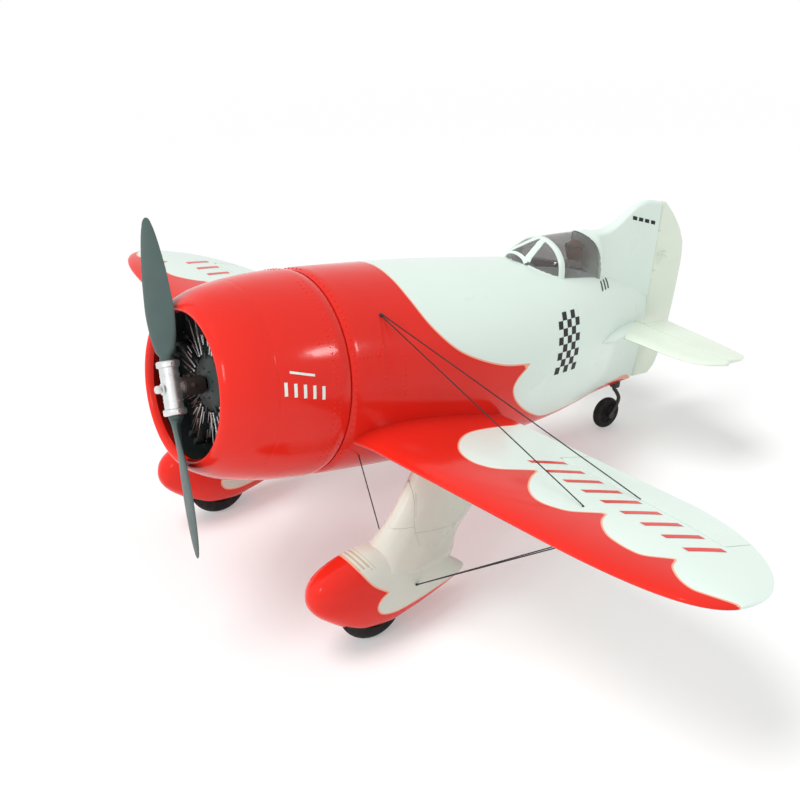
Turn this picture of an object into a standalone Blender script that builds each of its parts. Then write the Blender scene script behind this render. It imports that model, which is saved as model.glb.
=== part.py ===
"""Radio-controlled scale racing monoplane with a barrel fuselage.

Built level in the aircraft's own axes (x towards its left wing, y aft from the cowl's front lip, z up from
the thrust line), then hung on one empty that tips it onto its three wheels.
"""

import math

import bmesh
import bpy
from mathutils import Matrix, Vector

# ---- Driving dimensions, metres and degrees ----

CLEAR = 0.0003  # gap kept between pieces that touch
RUN = 0.00005  # radial clearance of a running shaft

BODY_SEGMENTS = 32
TURN_STEPS = 36  # sides of the cowl and of what seats in it
BODY_STATIONS = (  # aft position, half width, top, bottom
    (0.117, 0.0962, 0.0962, -0.0962),
    (0.150, 0.0966, 0.0966, -0.0968),
    (0.200, 0.0970, 0.0966, -0.0970),
    (0.260, 0.0960, 0.0955, -0.0965),
    (0.320, 0.0915, 0.0930, -0.0935),
    (0.370, 0.0845, 0.0905, -0.0895),
    (0.420, 0.0715, 0.0870, -0.0840),
    (0.460, 0.0560, 0.0800, -0.0785),
    (0.500, 0.0375, 0.0690, -0.0720),
    (0.540, 0.0195, 0.0560, -0.0670),
    (0.571, 0.0070, 0.0470, -0.0630),
)
BODY_WALL = 0.0035
TAIL_BLOCK = 0.050  # solid length of the fuselage ahead of the rudder

COWL_REAR = 0.1164
COWL_WALL = 0.0018
COWL_OUTLINE = (  # aft position, radius, from the rolled lip aft
    (0.0060, 0.0650),
    (0.0016, 0.0668),
    (0.0000, 0.0700),
    (0.0022, 0.0738),
    (0.0090, 0.0785),
    (0.0280, 0.0862),
    (0.0630, 0.0927),
    (0.0960, 0.0955),
)

FIREWALL_AT = 0.124
FIREWALL_THICK = 0.006
MOTOR_RADIUS = 0.0210
MOTOR_FRONT = 0.052
MOTOR_LENGTH = 0.034
STANDOFF_RADIUS = 0.0150
SHAFT_RADIUS = 0.0030

ENGINE_AT = 0.030  # front plane of the dummy engine's crankcase
ENGINE_DEPTH = 0.014
ENGINE_CYLINDERS = 9
CRANKCASE_RADIUS = 0.0270
CYLINDER_RADIUS = 0.0085
CYLINDER_TOP = 0.0700
BAFFLE_THICK = 0.0015

PROP_RADIUS = 0.1505
PROP_AT = -0.0092
PROP_TURN = 25.4
PROP_STATIONS = (  # share of the radius, chord, thickness, pitch in degrees
    (0.115, 0.0130, 0.0110, 52.0),
    (0.200, 0.0190, 0.0078, 44.0),
    (0.330, 0.0290, 0.0056, 34.0),
    (0.480, 0.0345, 0.0042, 25.0),
    (0.640, 0.0330, 0.0032, 20.0),
    (0.800, 0.0265, 0.0025, 16.0),
    (0.920, 0.0180, 0.0019, 13.0),
    (0.985, 0.0090, 0.0014, 12.0),
)
HUB_RADIUS = 0.0085
HUB_LENGTH = 0.0480
COLLAR_RADIUS = 0.0105
COLLAR_WIDTH = 0.0055
NUT_RADIUS = 0.0042
NUT_LENGTH = 0.0070

WING_HALF_SPAN = 0.476
WING_ROUND = 0.159  # spanwise length of the rounded tip
WING_LEADING = (0.1266, 0.045)  # aft position at the centre line, sweep
WING_TRAILING = (0.3026, 0.017)
WING_HEIGHT = -0.0400
WING_DIHEDRAL = 0.0423
WING_INCIDENCE = 0.0066
WING_TWIST_AT = 0.150
WING_THICK = 0.117  # share of the chord
WING_TIP_SWEEP = 0.0235
WING_ROOT = 0.070
FILLET_REACH = 0.046
FILLET_THICK = 0.011
SPAR_TUBE_RADIUS = 0.0040
SPAR_TUBE_WALL = 0.0008
SPAR_TUBE_AT = 0.186
SPAR_TUBE_HALF = 0.150

AILERON_INNER = 0.207
AILERON_OUTER = 0.405
AILERON_CHORD = 0.0400
SURFACE_GAP = 0.0008
AILERON_RANGE = 22.0

STAB_HALF_SPAN = 0.151
STAB_HEIGHT = 0.0090
STAB_THICK = 0.0085
STAB_TAPER = 0.45  # thickness lost towards the tip
STAB_LEADING = (  # share of the half span, aft position, from the centre line out
    (0.000, 0.4880),
    (0.199, 0.4930),
    (0.450, 0.4995),
    (0.682, 0.5020),
    (0.861, 0.5090),
    (0.954, 0.5200),
    (1.000, 0.5400),
)
STAB_TRAILING = (
    (1.000, 0.5540),
    (0.974, 0.5720),
    (0.914, 0.5860),
    (0.775, 0.5900),
    (0.457, 0.5945),
    (0.126, 0.5970),
)
ELEVATOR_HINGE = 0.5490
ELEVATOR_RANGE = 25.0
ELEVATOR_JOINER_RADIUS = 0.0015

FIN_TOP = (  # aft position, height of the fin's upper edge
    (0.4673, 0.1140),
    (0.4850, 0.1150),
    (0.4970, 0.1178),
    (0.5100, 0.1245),
    (0.5240, 0.1345),
    (0.5370, 0.1415),
    (0.5510, 0.1445),
    (0.5707, 0.1425),
)
FIN_THICK = 0.0090
RUDDER_HINGE = 0.5750
RUDDER_NOSE = 0.0035
RUDDER_TRAILING = (  # aft position, height, from the top down
    (0.5790, 0.1420),
    (0.5960, 0.1270),
    (0.6120, 0.1075),
    (0.6200, 0.0900),
    (0.6220, 0.0700),
    (0.6215, 0.0400),
    (0.6195, 0.0050),
    (0.6150, -0.0250),
    (0.6090, -0.0480),
    (0.6000, -0.0590),
)

WHEEL_SPREAD = 0.1405
WHEEL_AT = 0.1265
WHEEL_HEIGHT = -0.1745
WHEEL_RADIUS = 0.0325
WHEEL_WIDTH = 0.0210
RIM_RADIUS = 0.0175
AXLE_RADIUS = 0.0020
WHEEL_CLEARANCE = 0.0035
PANT_HALF_WIDTH = 0.0250
PANT_STATIONS = (  # aft position, share of the width, top, bottom
    (0.0570, 0.10, -0.1490, -0.1550),
    (0.0600, 0.36, -0.1410, -0.1630),
    (0.0670, 0.60, -0.1335, -0.1705),
    (0.0800, 0.82, -0.1260, -0.1780),
    (0.0960, 0.95, -0.1195, -0.1845),
    (0.1150, 1.00, -0.1150, -0.1885),
    (0.1380, 1.00, -0.1140, -0.1890),
    (0.1640, 0.93, -0.1190, -0.1830),
    (0.1900, 0.74, -0.1300, -0.1735),
    (0.2110, 0.48, -0.1430, -0.1655),
    (0.2240, 0.25, -0.1505, -0.1605),
    (0.2290, 0.10, -0.1540, -0.1575),
)
LEG_STATIONS = (  # height, front edge, rear edge, half thickness
    (-0.0350, 0.1640, 0.2560, 0.0135),
    (-0.0550, 0.1550, 0.2480, 0.0135),
    (-0.0810, 0.1430, 0.2390, 0.0140),
    (-0.1000, 0.1320, 0.2270, 0.0150),
    (-0.1130, 0.1220, 0.2180, 0.0170),
    (-0.1260, 0.1120, 0.2120, 0.0190),
    (-0.1420, 0.1180, 0.2080, 0.0170),
)
STRUT_RADIUS = 0.0022
STRUT_SINK = 0.006
STRUT_TOP = (0.2050, 0.0095)  # aft position, height over the wing's root line
STRUT_FOOT = (0.1650, -0.1180)  # aft position, height of the pant's roof

TAIL_WHEEL_AT = 0.5435
TAIL_WHEEL_HEIGHT = -0.1008
TAIL_WHEEL_RADIUS = 0.0180
TAIL_WHEEL_WIDTH = 0.0085
TAIL_POST_AT = 0.5500
TAIL_POST_RADIUS = 0.0016
TAIL_POST_RISE = 0.0180
TAIL_AXLE_RADIUS = 0.0012

CANOPY_WALL = 0.0008
CANOPY_SECTIONS = (  # aft position, half width at the sill, sill height, half width at the shoulder, roof
    (0.3650, 0.0035, 0.0895, 0.0015, 0.0925),
    (0.3730, 0.0165, 0.0875, 0.0075, 0.0965),
    (0.3850, 0.0285, 0.0830, 0.0125, 0.1020),
    (0.4050, 0.0345, 0.0780, 0.0160, 0.1100),
    (0.4250, 0.0325, 0.0765, 0.0170, 0.1120),
    (0.4450, 0.0280, 0.0750, 0.0165, 0.1132),
    (0.4670, 0.0225, 0.0735, 0.0145, 0.1140),
)
CANOPY_ARCH_AT = 0.4055
CANOPY_BAR = 0.0052
COCKPIT_FRONT = 0.3830
COCKPIT_REAR = 0.4620
COCKPIT_HALF_WIDTH = 0.0190
COCKPIT_FLOOR = 0.0480
COCKPIT_CUT = (0.0600, 0.1300)  # heights that the cockpit's opening in the deck runs between

HATCH_FRONT = 0.1450
HATCH_REAR = 0.2550
HATCH_HALF_WIDTH = 0.0300

TRAY_TOP = -0.0200
PLY_THICK = 0.0030
BATTERY = (0.0340, 0.1050, 0.0260)  # width, length, height
BATTERY_AT = 0.1950
TRAY_REAR = 0.2850
SPEED_CONTROLLER = (0.0270, 0.0500, 0.0110)
RECEIVER = (0.0230, 0.0420, 0.0130)
SERVO = (0.0115, 0.0230, 0.0240)
SERVO_AT = 0.3250
SERVO_SPREAD = 0.0200
SERVO_TRAY_HALF = 0.0300  # reach ahead of the servos and behind them
FORMER_AT = 0.3700
FORMER_TOP = 0.0400
FORMER_OPENING = (0.0300, -0.0250, 0.0300)  # half width, bottom, top

WIRE_RADIUS = 0.0006
UPPER_ANCHOR = (0.1600, 47.5)  # aft position, degrees round the fuselage from the side
UPPER_WIRE_ENDS = ((0.3080, 0.1968), (0.3101, 0.2608))
LOWER_WIRE_ENDS = ((0.3215, 0.1850), (0.3270, 0.2450))
LOWER_ANCHOR = (0.1570, -0.1490)
INNER_ANCHOR = (0.1424, -36.0)
INNER_FOOT = (0.1410, -0.1130)

# ---- Collections, materials and mesh helpers ----


def clear_scene():
    for item in list(bpy.data.objects):
        bpy.data.objects.remove(item, do_unlink=True)


def collection(name):
    made = bpy.data.collections.new(name)
    bpy.context.scene.collection.children.link(made)
    return made


clear_scene()
PARTS = collection("racing_monoplane")
CUTTERS = collection("cutters")
stance = bpy.data.objects.new("stance", None)
PARTS.objects.link(stance)


def material(name, colour, roughness, metallic=0.0, alpha=1.0):
    made = bpy.data.materials.new(name)
    made.use_nodes = True
    shader = made.node_tree.nodes["Principled BSDF"]
    shader.inputs["Base Color"].default_value = (*colour, 1.0)
    shader.inputs["Roughness"].default_value = roughness
    shader.inputs["Metallic"].default_value = metallic
    shader.inputs["Alpha"].default_value = alpha
    return made


FINISHES = {  # colour, roughness, metallic
    "red": ((0.75, 0.025, 0.015), 0.18, 0.0),
    "white": ((0.76, 0.86, 0.79), 0.30, 0.0),
    "cream": ((0.62, 0.62, 0.50), 0.35, 0.0),
    "black": ((0.012, 0.013, 0.013), 0.45, 0.0),
    "green": ((0.035, 0.058, 0.055), 0.50, 0.0),
    "steel": ((0.55, 0.55, 0.56), 0.28, 1.0),
    "alloy": ((0.66, 0.67, 0.68), 0.32, 1.0),
    "rubber": ((0.015, 0.015, 0.015), 0.80, 0.0),
    "ply": ((0.55, 0.38, 0.21), 0.60, 0.0),
    "blue": ((0.03, 0.07, 0.30), 0.40, 0.0),
    "glass": ((0.06, 0.08, 0.08), 0.08, 0.0),
    "tan": ((0.45, 0.25, 0.14), 0.60, 0.0),
    "copper": ((0.60, 0.28, 0.12), 0.35, 1.0),
}


def dress(item, finish):
    colour, roughness, metallic = FINISHES[finish]
    alpha = 0.4 if finish == "glass" else 1.0
    item["finish"] = finish
    item.data.materials.clear()
    item.data.materials.append(material(item.name + "_finish", colour, roughness, metallic, alpha))


def add(name, data, finish, parent=None):
    item = bpy.data.objects.new(name, data)
    PARTS.objects.link(item)
    item.parent = parent or stance
    dress(item, finish)
    return item


def mesh_of(points, faces, name="shape"):
    data = bpy.data.meshes.new(name)
    data.from_pydata([tuple(p) for p in points], [], faces)
    work = bmesh.new()
    work.from_mesh(data)
    bmesh.ops.recalc_face_normals(work, faces=work.faces)
    work.to_mesh(data)
    work.free()
    data.shade_smooth()
    data.set_sharp_from_angle(angle=math.radians(35))
    return data


def loft(rings, name="loft"):
    """Closed skin of triangles through rings of equal point counts, with a cap on each end."""
    count = len(rings[0])
    points = [p for ring in rings for p in ring]
    faces = []
    for k in range(len(rings) - 1):
        for i in range(count):
            j = (i + 1) % count
            near, beside = k * count + i, k * count + j
            faces.append((near, beside, beside + count))
            faces.append((near, beside + count, near + count))
    faces.append(tuple(range(count)))
    faces.append(tuple(range((len(rings) - 1) * count, len(rings) * count)))
    return mesh_of(points, faces, name)


def box_mesh(low, high):
    work = bmesh.new()
    bmesh.ops.create_cube(work, size=1.0)
    for v in work.verts:
        for axis in range(3):
            v.co[axis] = (high[axis] + low[axis]) / 2 + v.co[axis] * (high[axis] - low[axis])
    data = bpy.data.meshes.new("box")
    work.to_mesh(data)
    work.free()
    return data


def rod_mesh(start, end, radius, segments=16, end_radius=None):
    """Cylinder or cone between two points."""
    start = Vector(start)
    end = Vector(end)
    work = bmesh.new()
    bmesh.ops.create_cone(
        work,
        cap_ends=True,
        segments=segments,
        radius1=radius,
        radius2=radius if end_radius is None else end_radius,
        depth=(end - start).length,
    )
    turn = (end - start).to_track_quat("Z", "Y").to_matrix().to_4x4()
    bmesh.ops.transform(work, matrix=Matrix.Translation((start + end) / 2) @ turn, verts=work.verts)
    data = bpy.data.meshes.new("rod")
    work.to_mesh(data)
    work.free()
    data.shade_smooth()
    data.set_sharp_from_angle(angle=math.radians(35))
    return data


def ellipsoid_mesh(centre, size, segments=16, rings=10):
    work = bmesh.new()
    bmesh.ops.create_uvsphere(work, u_segments=segments, v_segments=rings, radius=1.0)
    for v in work.verts:
        v.co = Vector(centre) + Vector(a * b for a, b in zip(v.co, size))
    data = bpy.data.meshes.new("ellipsoid")
    work.to_mesh(data)
    work.free()
    data.shade_smooth()
    return data


def boolean(item, cutter, operation="DIFFERENCE", solver="EXACT"):
    step = item.modifiers.new(operation.lower(), "BOOLEAN")
    step.operation = operation
    step.solver = solver
    step.object = cutter
    return step


def cutter(name, data):
    item = bpy.data.objects.new(name, data)
    CUTTERS.objects.link(item)
    item.parent = stance
    item.hide_render = True
    item.display_type = "WIRE"
    return item


def cut(item, data):
    boolean(item, cutter("cut_" + item.name, data))


def join(item, data):
    boolean(item, cutter("join_" + item.name, data), "UNION")


def bevelled(item, width, segments=2):
    step = item.modifiers.new("edges", "BEVEL")
    step.width = width
    step.segments = segments
    step.limit_method = "ANGLE"
    step.angle_limit = math.radians(40)


def baked(item):
    """The item's mesh with its modifiers applied."""
    bpy.context.view_layer.update()
    graph = bpy.context.evaluated_depsgraph_get()
    return bpy.data.meshes.new_from_object(item.evaluated_get(graph))


def mirror_image(item, name, finish, parent=None):
    """The item's twin on the aircraft's right side."""
    data = baked(item)
    data.transform(Matrix.Scale(-1, 4, (1, 0, 0)))
    data.flip_normals()
    twin = add(name, data, finish, parent)
    twin.location = (-item.location.x, item.location.y, item.location.z)
    return twin


def turned(name, outline, finish, steps=48, parent=None, closed=True):
    """Outline of (aft position, radius) spun round the thrust line; the object's local z points forward."""
    points = [(radius, 0.0, -aft) for aft, radius in outline]
    area = sum(
        a[0] * b[2] - b[0] * a[2] for a, b in zip(points, points[1:] + points[:1])
    )
    if area > 0:
        points.reverse()
    edges = [(i, i + 1) for i in range(len(points) - 1)]
    if closed:
        edges.append((len(points) - 1, 0))
    data = bpy.data.meshes.new(name)
    data.from_pydata(points, edges, [])
    item = add(name, data, finish, parent)
    spin = item.modifiers.new("spin", "SCREW")
    spin.axis = "Z"
    spin.angle = math.tau
    spin.steps = steps
    spin.render_steps = steps
    spin.use_merge_vertices = True
    spin.merge_threshold = 0.00001
    spin.use_smooth_shade = True
    item.rotation_euler = (math.pi / 2, 0, 0)
    return item


def wire(name, points, radius, finish, parent=None):
    """Round wire along straight runs between the points, joined as one body."""
    data = bpy.data.curves.new(name, "CURVE")
    data.dimensions = "3D"
    data.bevel_depth = radius
    data.bevel_resolution = 2
    data.use_fill_caps = True
    line = data.splines.new("POLY")
    line.points.add(len(points) - 1)
    for spot, place in zip(line.points, points):
        spot.co = (*place, 1.0)
    return add(name, data, finish, parent)


def smooth(table, at, column=1):
    """Value of a column of a table at a position, on a curve through its rows that never overshoots."""
    rows = [(row[0], row[column]) for row in table]
    if at <= rows[0][0]:
        return rows[0][1]
    if at >= rows[-1][0]:
        return rows[-1][1]
    slopes = [(b[1] - a[1]) / (b[0] - a[0]) for a, b in zip(rows, rows[1:])]
    tangents = [slopes[0]]
    for a, b in zip(slopes, slopes[1:]):
        tangents.append(0.0 if a * b <= 0 else 2 * a * b / (a + b))
    tangents.append(slopes[-1])
    k = next(i for i in range(len(slopes)) if at <= rows[i + 1][0])
    step = rows[k + 1][0] - rows[k][0]
    t = (at - rows[k][0]) / step
    ease = t * t * (3 - 2 * t)
    start = t * (1 - t) ** 2 * tangents[k] * step
    end = t * t * (t - 1) * tangents[k + 1] * step
    return rows[k][1] * (1 - ease) + rows[k + 1][1] * ease + start + end

# ---- Shared shapes: what one piece is cut or seated to ----


def body_ring(aft, grow=0.0, segments=BODY_SEGMENTS):
    """Cross-section of the fuselage, an ellipse with its own top and bottom."""
    width = smooth(BODY_STATIONS, aft, 1) + grow
    top = smooth(BODY_STATIONS, aft, 2) + grow
    bottom = smooth(BODY_STATIONS, aft, 3) - grow
    ring = []
    for i in range(segments):
        angle = math.tau * i / segments
        height = top if math.sin(angle) > 0 else -bottom
        ring.append((width * math.cos(angle), aft, height * math.sin(angle)))
    return ring


def body_solid(grow=0.0, front=None, rear=None):
    stations = [row[0] for row in BODY_STATIONS]
    front = stations[0] if front is None else front
    rear = stations[-1] if rear is None else rear
    places = [front] + [s for s in stations if front < s < rear] + [rear]
    return loft([body_ring(place, grow) for place in places], "body")


def body_point(aft, degrees, proud=0.0):
    """Point on the fuselage skin, degrees up from its left side."""
    angle = math.radians(degrees)
    width = smooth(BODY_STATIONS, aft, 1)
    height = smooth(BODY_STATIONS, aft, 2) if angle > 0 else -smooth(BODY_STATIONS, aft, 3)
    skin = Vector((width * math.cos(angle), aft, height * math.sin(angle)))
    out = Vector((math.cos(angle) / width, 0, math.sin(angle) / height)).normalized()
    return skin + out * proud


def wing_edges(span):
    """Leading and trailing edge positions at a distance from the centre line."""
    lead = WING_LEADING[0] + WING_LEADING[1] * span
    trail = WING_TRAILING[0] + WING_TRAILING[1] * span
    start = WING_HALF_SPAN - WING_ROUND
    if span <= start:
        return lead, trail
    share = min((span - start) / WING_ROUND, 1.0)
    narrow = max(1 - share * share, 0.0) ** 0.45
    centre = (lead + trail) / 2 - WING_TIP_SWEEP * share * share
    half = (trail - lead) / 2 * narrow
    return centre - half, centre + half


def wing_height(span, aft):
    return WING_HEIGHT + WING_DIHEDRAL * span - WING_INCIDENCE * (aft - WING_TWIST_AT)


def aerofoil_half(share):
    """Half thickness of the section at a share of its chord, as a share of its full thickness."""
    return 5 * (
        0.2969 * math.sqrt(share)
        - 0.1260 * share
        - 0.3516 * share ** 2
        + 0.2843 * share ** 3
        - 0.1036 * share ** 4
    )


def wing_thickness(span, share):
    """Thickness above or below the mean line, with the root fillet's swelling."""
    lead, trail = wing_edges(span)
    reach = max(0.0, 1 - (span - WING_ROOT) / FILLET_REACH)
    swell = FILLET_THICK * reach ** 2 * math.sin(math.pi * min(max(share, 0.0), 1.0)) ** 0.5
    return aerofoil_half(share) * WING_THICK * (trail - lead) + swell


CHORD_SHARES = (0.0, 0.012, 0.05, 0.12, 0.25, 0.42, 0.60, 0.78, 0.90, 1.0)


def wing_ring(span, grow=0.0):
    lead, trail = wing_edges(span)
    reach = max(0.0, 1 - (span - WING_ROOT) / FILLET_REACH)
    lead -= grow + FILLET_THICK * reach ** 2
    trail += grow
    upper = []
    lower = []
    for share in CHORD_SHARES:
        aft = lead + (trail - lead) * share
        middle = wing_height(span, aft)
        half = wing_thickness(span, share) + grow
        upper.append((span, aft, middle + half * 1.15 + 0.0002))
        lower.append((span, aft, middle - half * 0.85 - 0.0002))
    return upper + lower[::-1]


def wing_spans():
    start = WING_HALF_SPAN - WING_ROUND
    near = [WING_ROOT + FILLET_REACH * share for share in (0.0, 0.45, 0.7, 1.0)]
    tip = [start + WING_ROUND * math.sin(math.radians(a)) for a in (0, 20, 38, 53, 65, 75, 82, 87)]
    return near + [(near[-1] + start) / 2] + tip


def wing_solid(grow=0.0, near=None, far=None):
    spans = wing_spans()
    near = spans[0] if near is None else near
    far = spans[-1] if far is None else far
    places = [near] + [s for s in spans if near < s < far] + [far]
    return loft([wing_ring(place, grow) for place in places], "wing")


def aileron_hinge(span):
    """Point of the aileron's hinge line."""
    aft = wing_edges(AILERON_INNER)[1] - AILERON_CHORD
    outer = wing_edges(AILERON_OUTER)[1] - AILERON_CHORD * 0.85
    share = (span - AILERON_INNER) / (AILERON_OUTER - AILERON_INNER)
    aft = aft + (outer - aft) * share
    return Vector((span, aft, wing_height(span, aft)))


# ---- Fuselage, cowl and nose ----


def inner_solid(shrink=0.0):
    """The fuselage's hollow."""
    rear = BODY_STATIONS[-1][0] - TAIL_BLOCK
    return body_solid(-BODY_WALL - shrink, BODY_STATIONS[0][0] - 0.001, rear)


def hatch_box(grow=0.0):
    low = (-HATCH_HALF_WIDTH - grow, HATCH_FRONT - grow, -0.15)
    high = (HATCH_HALF_WIDTH + grow, HATCH_REAR + grow, -0.06)
    return box_mesh(low, high)


def spar_tube_line(half):
    height = wing_height((WING_ROOT + SPAR_TUBE_HALF) / 2, SPAR_TUBE_AT)
    return (-half, SPAR_TUBE_AT, height), (half, SPAR_TUBE_AT, height)


def stabilizer_ring(span, grow=0.0):
    share = abs(span) / STAB_HALF_SPAN
    lead = smooth(STAB_LEADING, share) - grow
    rear = ELEVATOR_HINGE - SURFACE_GAP + grow
    half = STAB_THICK / 2 * (1 - STAB_TAPER * share) + grow
    upper = [(lead, 0.12), (lead + 0.0015, 0.55), (lead + 0.0055, 0.9), (lead + 0.0110, 1.0)]
    upper = [(min(aft, rear - 0.0001), high) for aft, high in upper] + [(rear, 0.96)]
    ring = [(span, aft, STAB_HEIGHT + half * high) for aft, high in upper]
    return ring + [(span, aft, STAB_HEIGHT - half * high) for aft, high in reversed(upper)]


def stabilizer_solid(grow=0.0):
    half_span = STAB_HALF_SPAN + grow
    places = [row[0] * STAB_HALF_SPAN for row in STAB_LEADING[1:-1]] + [half_span]
    spans = [-p for p in reversed(places)] + [0.0] + places
    return loft([stabilizer_ring(s, grow) for s in spans], "stabilizer")


def make_fuselage():
    skin = add("fuselage", body_solid(), "white")
    boolean(skin, cutter("fuselage_hollow", inner_solid()))
    cut(skin, hatch_box(CLEAR))
    low, high = COCKPIT_CUT
    opening = box_mesh((-COCKPIT_HALF_WIDTH, COCKPIT_FRONT, low), (COCKPIT_HALF_WIDTH, COCKPIT_REAR, high))
    cut(skin, opening)
    cut(skin, rod_mesh(*spar_tube_line(0.12), SPAR_TUBE_RADIUS + CLEAR))
    joiner = (ELEVATOR_HINGE, STAB_HEIGHT)
    cut(skin, rod_mesh((-0.03, *joiner), (0.03, *joiner), ELEVATOR_JOINER_RADIUS + 0.0006))
    cut(skin, stabilizer_solid(CLEAR))
    top = TAIL_POST_TOP + 0.001
    cut(skin, rod_mesh((0, TAIL_POST_AT, -0.09), (0, TAIL_POST_AT, top), TAIL_POST_RADIUS + CLEAR))
    return skin


def make_hatch():
    hatch = add("battery_hatch", body_solid(), "red")
    boolean(hatch, cutter("hatch_hollow", inner_solid()))
    boolean(hatch, cutter("hatch_outline", hatch_box()), "INTERSECT")
    return hatch


def cowl_skin():
    """Rows of the cowl's outline that carry its wall, from behind the lip to its rear edge."""
    return list(COWL_OUTLINE[4:]) + [(COWL_REAR, BODY_STATIONS[0][1])]


def cowl_inside(aft):
    """Radius of the cowl's inner wall, which runs straight between its rows."""
    rows = cowl_skin()
    near, far = next((a, b) for a, b in zip(rows, rows[1:]) if aft <= b[0])
    share = (aft - near[0]) / (far[0] - near[0])
    return near[1] + (far[1] - near[1]) * share - COWL_WALL


def make_cowl():
    skin = cowl_skin()
    inside = [(aft, radius - COWL_WALL) for aft, radius in reversed(skin)]
    inside[-1] = (COWL_OUTLINE[4][0], COWL_OUTLINE[4][1] - 2 * COWL_WALL)
    return turned("engine_cowl", list(COWL_OUTLINE[:4]) + skin + inside, "red", TURN_STEPS)


def make_firewall():
    flats = math.cos(math.pi / BODY_SEGMENTS)
    body = (BODY_STATIONS[0][1] - BODY_WALL) * flats - CLEAR
    lip = COWL_REAR - 0.007
    seat = cowl_inside(lip) - CLEAR
    step = COWL_REAR + CLEAR
    back = FIREWALL_AT + FIREWALL_THICK
    outline = [
        (FIREWALL_AT, 0.0),
        (FIREWALL_AT, seat - 0.005),
        (lip, seat - 0.003),
        (lip, seat),
        (step, seat),
        (step, body),
        (back, body),
        (back, 0.0),
    ]
    return turned("firewall", outline, "ply", TURN_STEPS, closed=False)


def motor_rear():
    return MOTOR_FRONT + MOTOR_LENGTH


def make_motor_mount():
    front = motor_rear() + 0.0050 + CLEAR
    rear = FIREWALL_AT - CLEAR
    bore = STANDOFF_RADIUS - 0.0025
    outline = [
        (front, bore),
        (front, STANDOFF_RADIUS),
        (rear - 0.003, STANDOFF_RADIUS),
        (rear - 0.003, STANDOFF_RADIUS + 0.008),
        (rear, STANDOFF_RADIUS + 0.008),
        (rear, bore),
    ]
    return turned("motor_mount", outline, "alloy", 24)


def make_motor(propeller):
    wall = 0.0022
    rear = motor_rear()
    core = MOTOR_RADIUS - wall - 0.0008
    bell = [
        (MOTOR_FRONT, SHAFT_RADIUS + CLEAR),
        (MOTOR_FRONT, MOTOR_RADIUS - 0.004),
        (MOTOR_FRONT + 0.004, MOTOR_RADIUS),
        (rear - 0.0008, MOTOR_RADIUS),
        (rear - 0.0008, MOTOR_RADIUS - wall),
        (MOTOR_FRONT + wall, MOTOR_RADIUS - wall),
        (MOTOR_FRONT + wall, SHAFT_RADIUS + CLEAR),
    ]
    stator = [
        (MOTOR_FRONT + wall + 0.0008, SHAFT_RADIUS + RUN),
        (MOTOR_FRONT + wall + 0.0008, core),
        (rear - 0.004, core),
        (rear - 0.004, STANDOFF_RADIUS - 0.003),
        (rear, STANDOFF_RADIUS - 0.003),
        (rear, STANDOFF_RADIUS + 0.004),
        (rear + 0.005, STANDOFF_RADIUS + 0.004),
        (rear + 0.005, SHAFT_RADIUS + RUN),
    ]
    turned("motor_stator", stator, "copper", 24)
    case = turned("motor_bell", bell, "steel", 24)
    case.parent = propeller
    case.location = (0, -PROP_AT, 0)
    start = Vector((0, motor_rear() + 0.004 - PROP_AT, 0))
    shaft = rod_mesh(start, (0, HUB_RADIUS + CLEAR, 0), SHAFT_RADIUS, 20)
    add("propeller_shaft", shaft, "steel", propeller)


def make_dummy_engine():
    back = ENGINE_AT + ENGINE_DEPTH
    edge = cowl_inside(back) - CLEAR
    bore = SHAFT_RADIUS + 0.0015
    outline = [
        (ENGINE_AT - 0.004, bore),
        (ENGINE_AT - 0.004, CRANKCASE_RADIUS * 0.55),
        (ENGINE_AT, CRANKCASE_RADIUS * 0.9),
        (ENGINE_AT + 0.003, CRANKCASE_RADIUS),
        (back, CRANKCASE_RADIUS),
        (back, edge),
        (back + BAFFLE_THICK, edge),
        (back + BAFFLE_THICK, bore),
    ]
    engine = turned("dummy_engine", outline, "black", TURN_STEPS)
    middle = ENGINE_AT + ENGINE_DEPTH / 2 + 0.001
    ring = bmesh.new()
    for k in range(ENGINE_CYLINDERS):
        angle = math.tau * k / ENGINE_CYLINDERS
        out = Vector((math.sin(angle), 0, math.cos(angle)))
        near = out * (CRANKCASE_RADIUS - 0.004) + Vector((0, middle, 0))
        far = out * CYLINDER_TOP + Vector((0, middle, 0))
        piece = rod_mesh(near, far, CYLINDER_RADIUS, 12)
        ring.from_mesh(piece)
    data = bpy.data.meshes.new("cylinders")
    ring.to_mesh(data)
    ring.free()
    join(engine, data)
    return engine


def blade_ring(row, side):
    """Section of a blade that points up (side 1) or down (side -1)."""
    share, chord, thick, pitch = row
    height = side * share * PROP_RADIUS
    lean = math.radians(pitch)
    ring = []
    for k in range(12):
        angle = math.tau * k / 12
        along = math.cos(angle) * chord / 2
        forward = math.sin(angle) * thick * (0.65 if math.sin(angle) > 0 else 0.35)
        x = side * (forward * math.sin(lean) - along * math.cos(lean))
        y = -forward * math.cos(lean) - along * math.sin(lean)
        ring.append((x, y, height))
    return ring


def blade_foot(height, side):
    """Round end of a blade's shank, turned as its first section is."""
    radius = COLLAR_RADIUS * 0.62
    lean = math.radians(PROP_STATIONS[0][3])
    ring = []
    for k in range(12):
        angle = math.tau * k / 12 + lean
        ring.append((-side * radius * math.cos(angle), -radius * math.sin(angle), side * height))
    return ring


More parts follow.
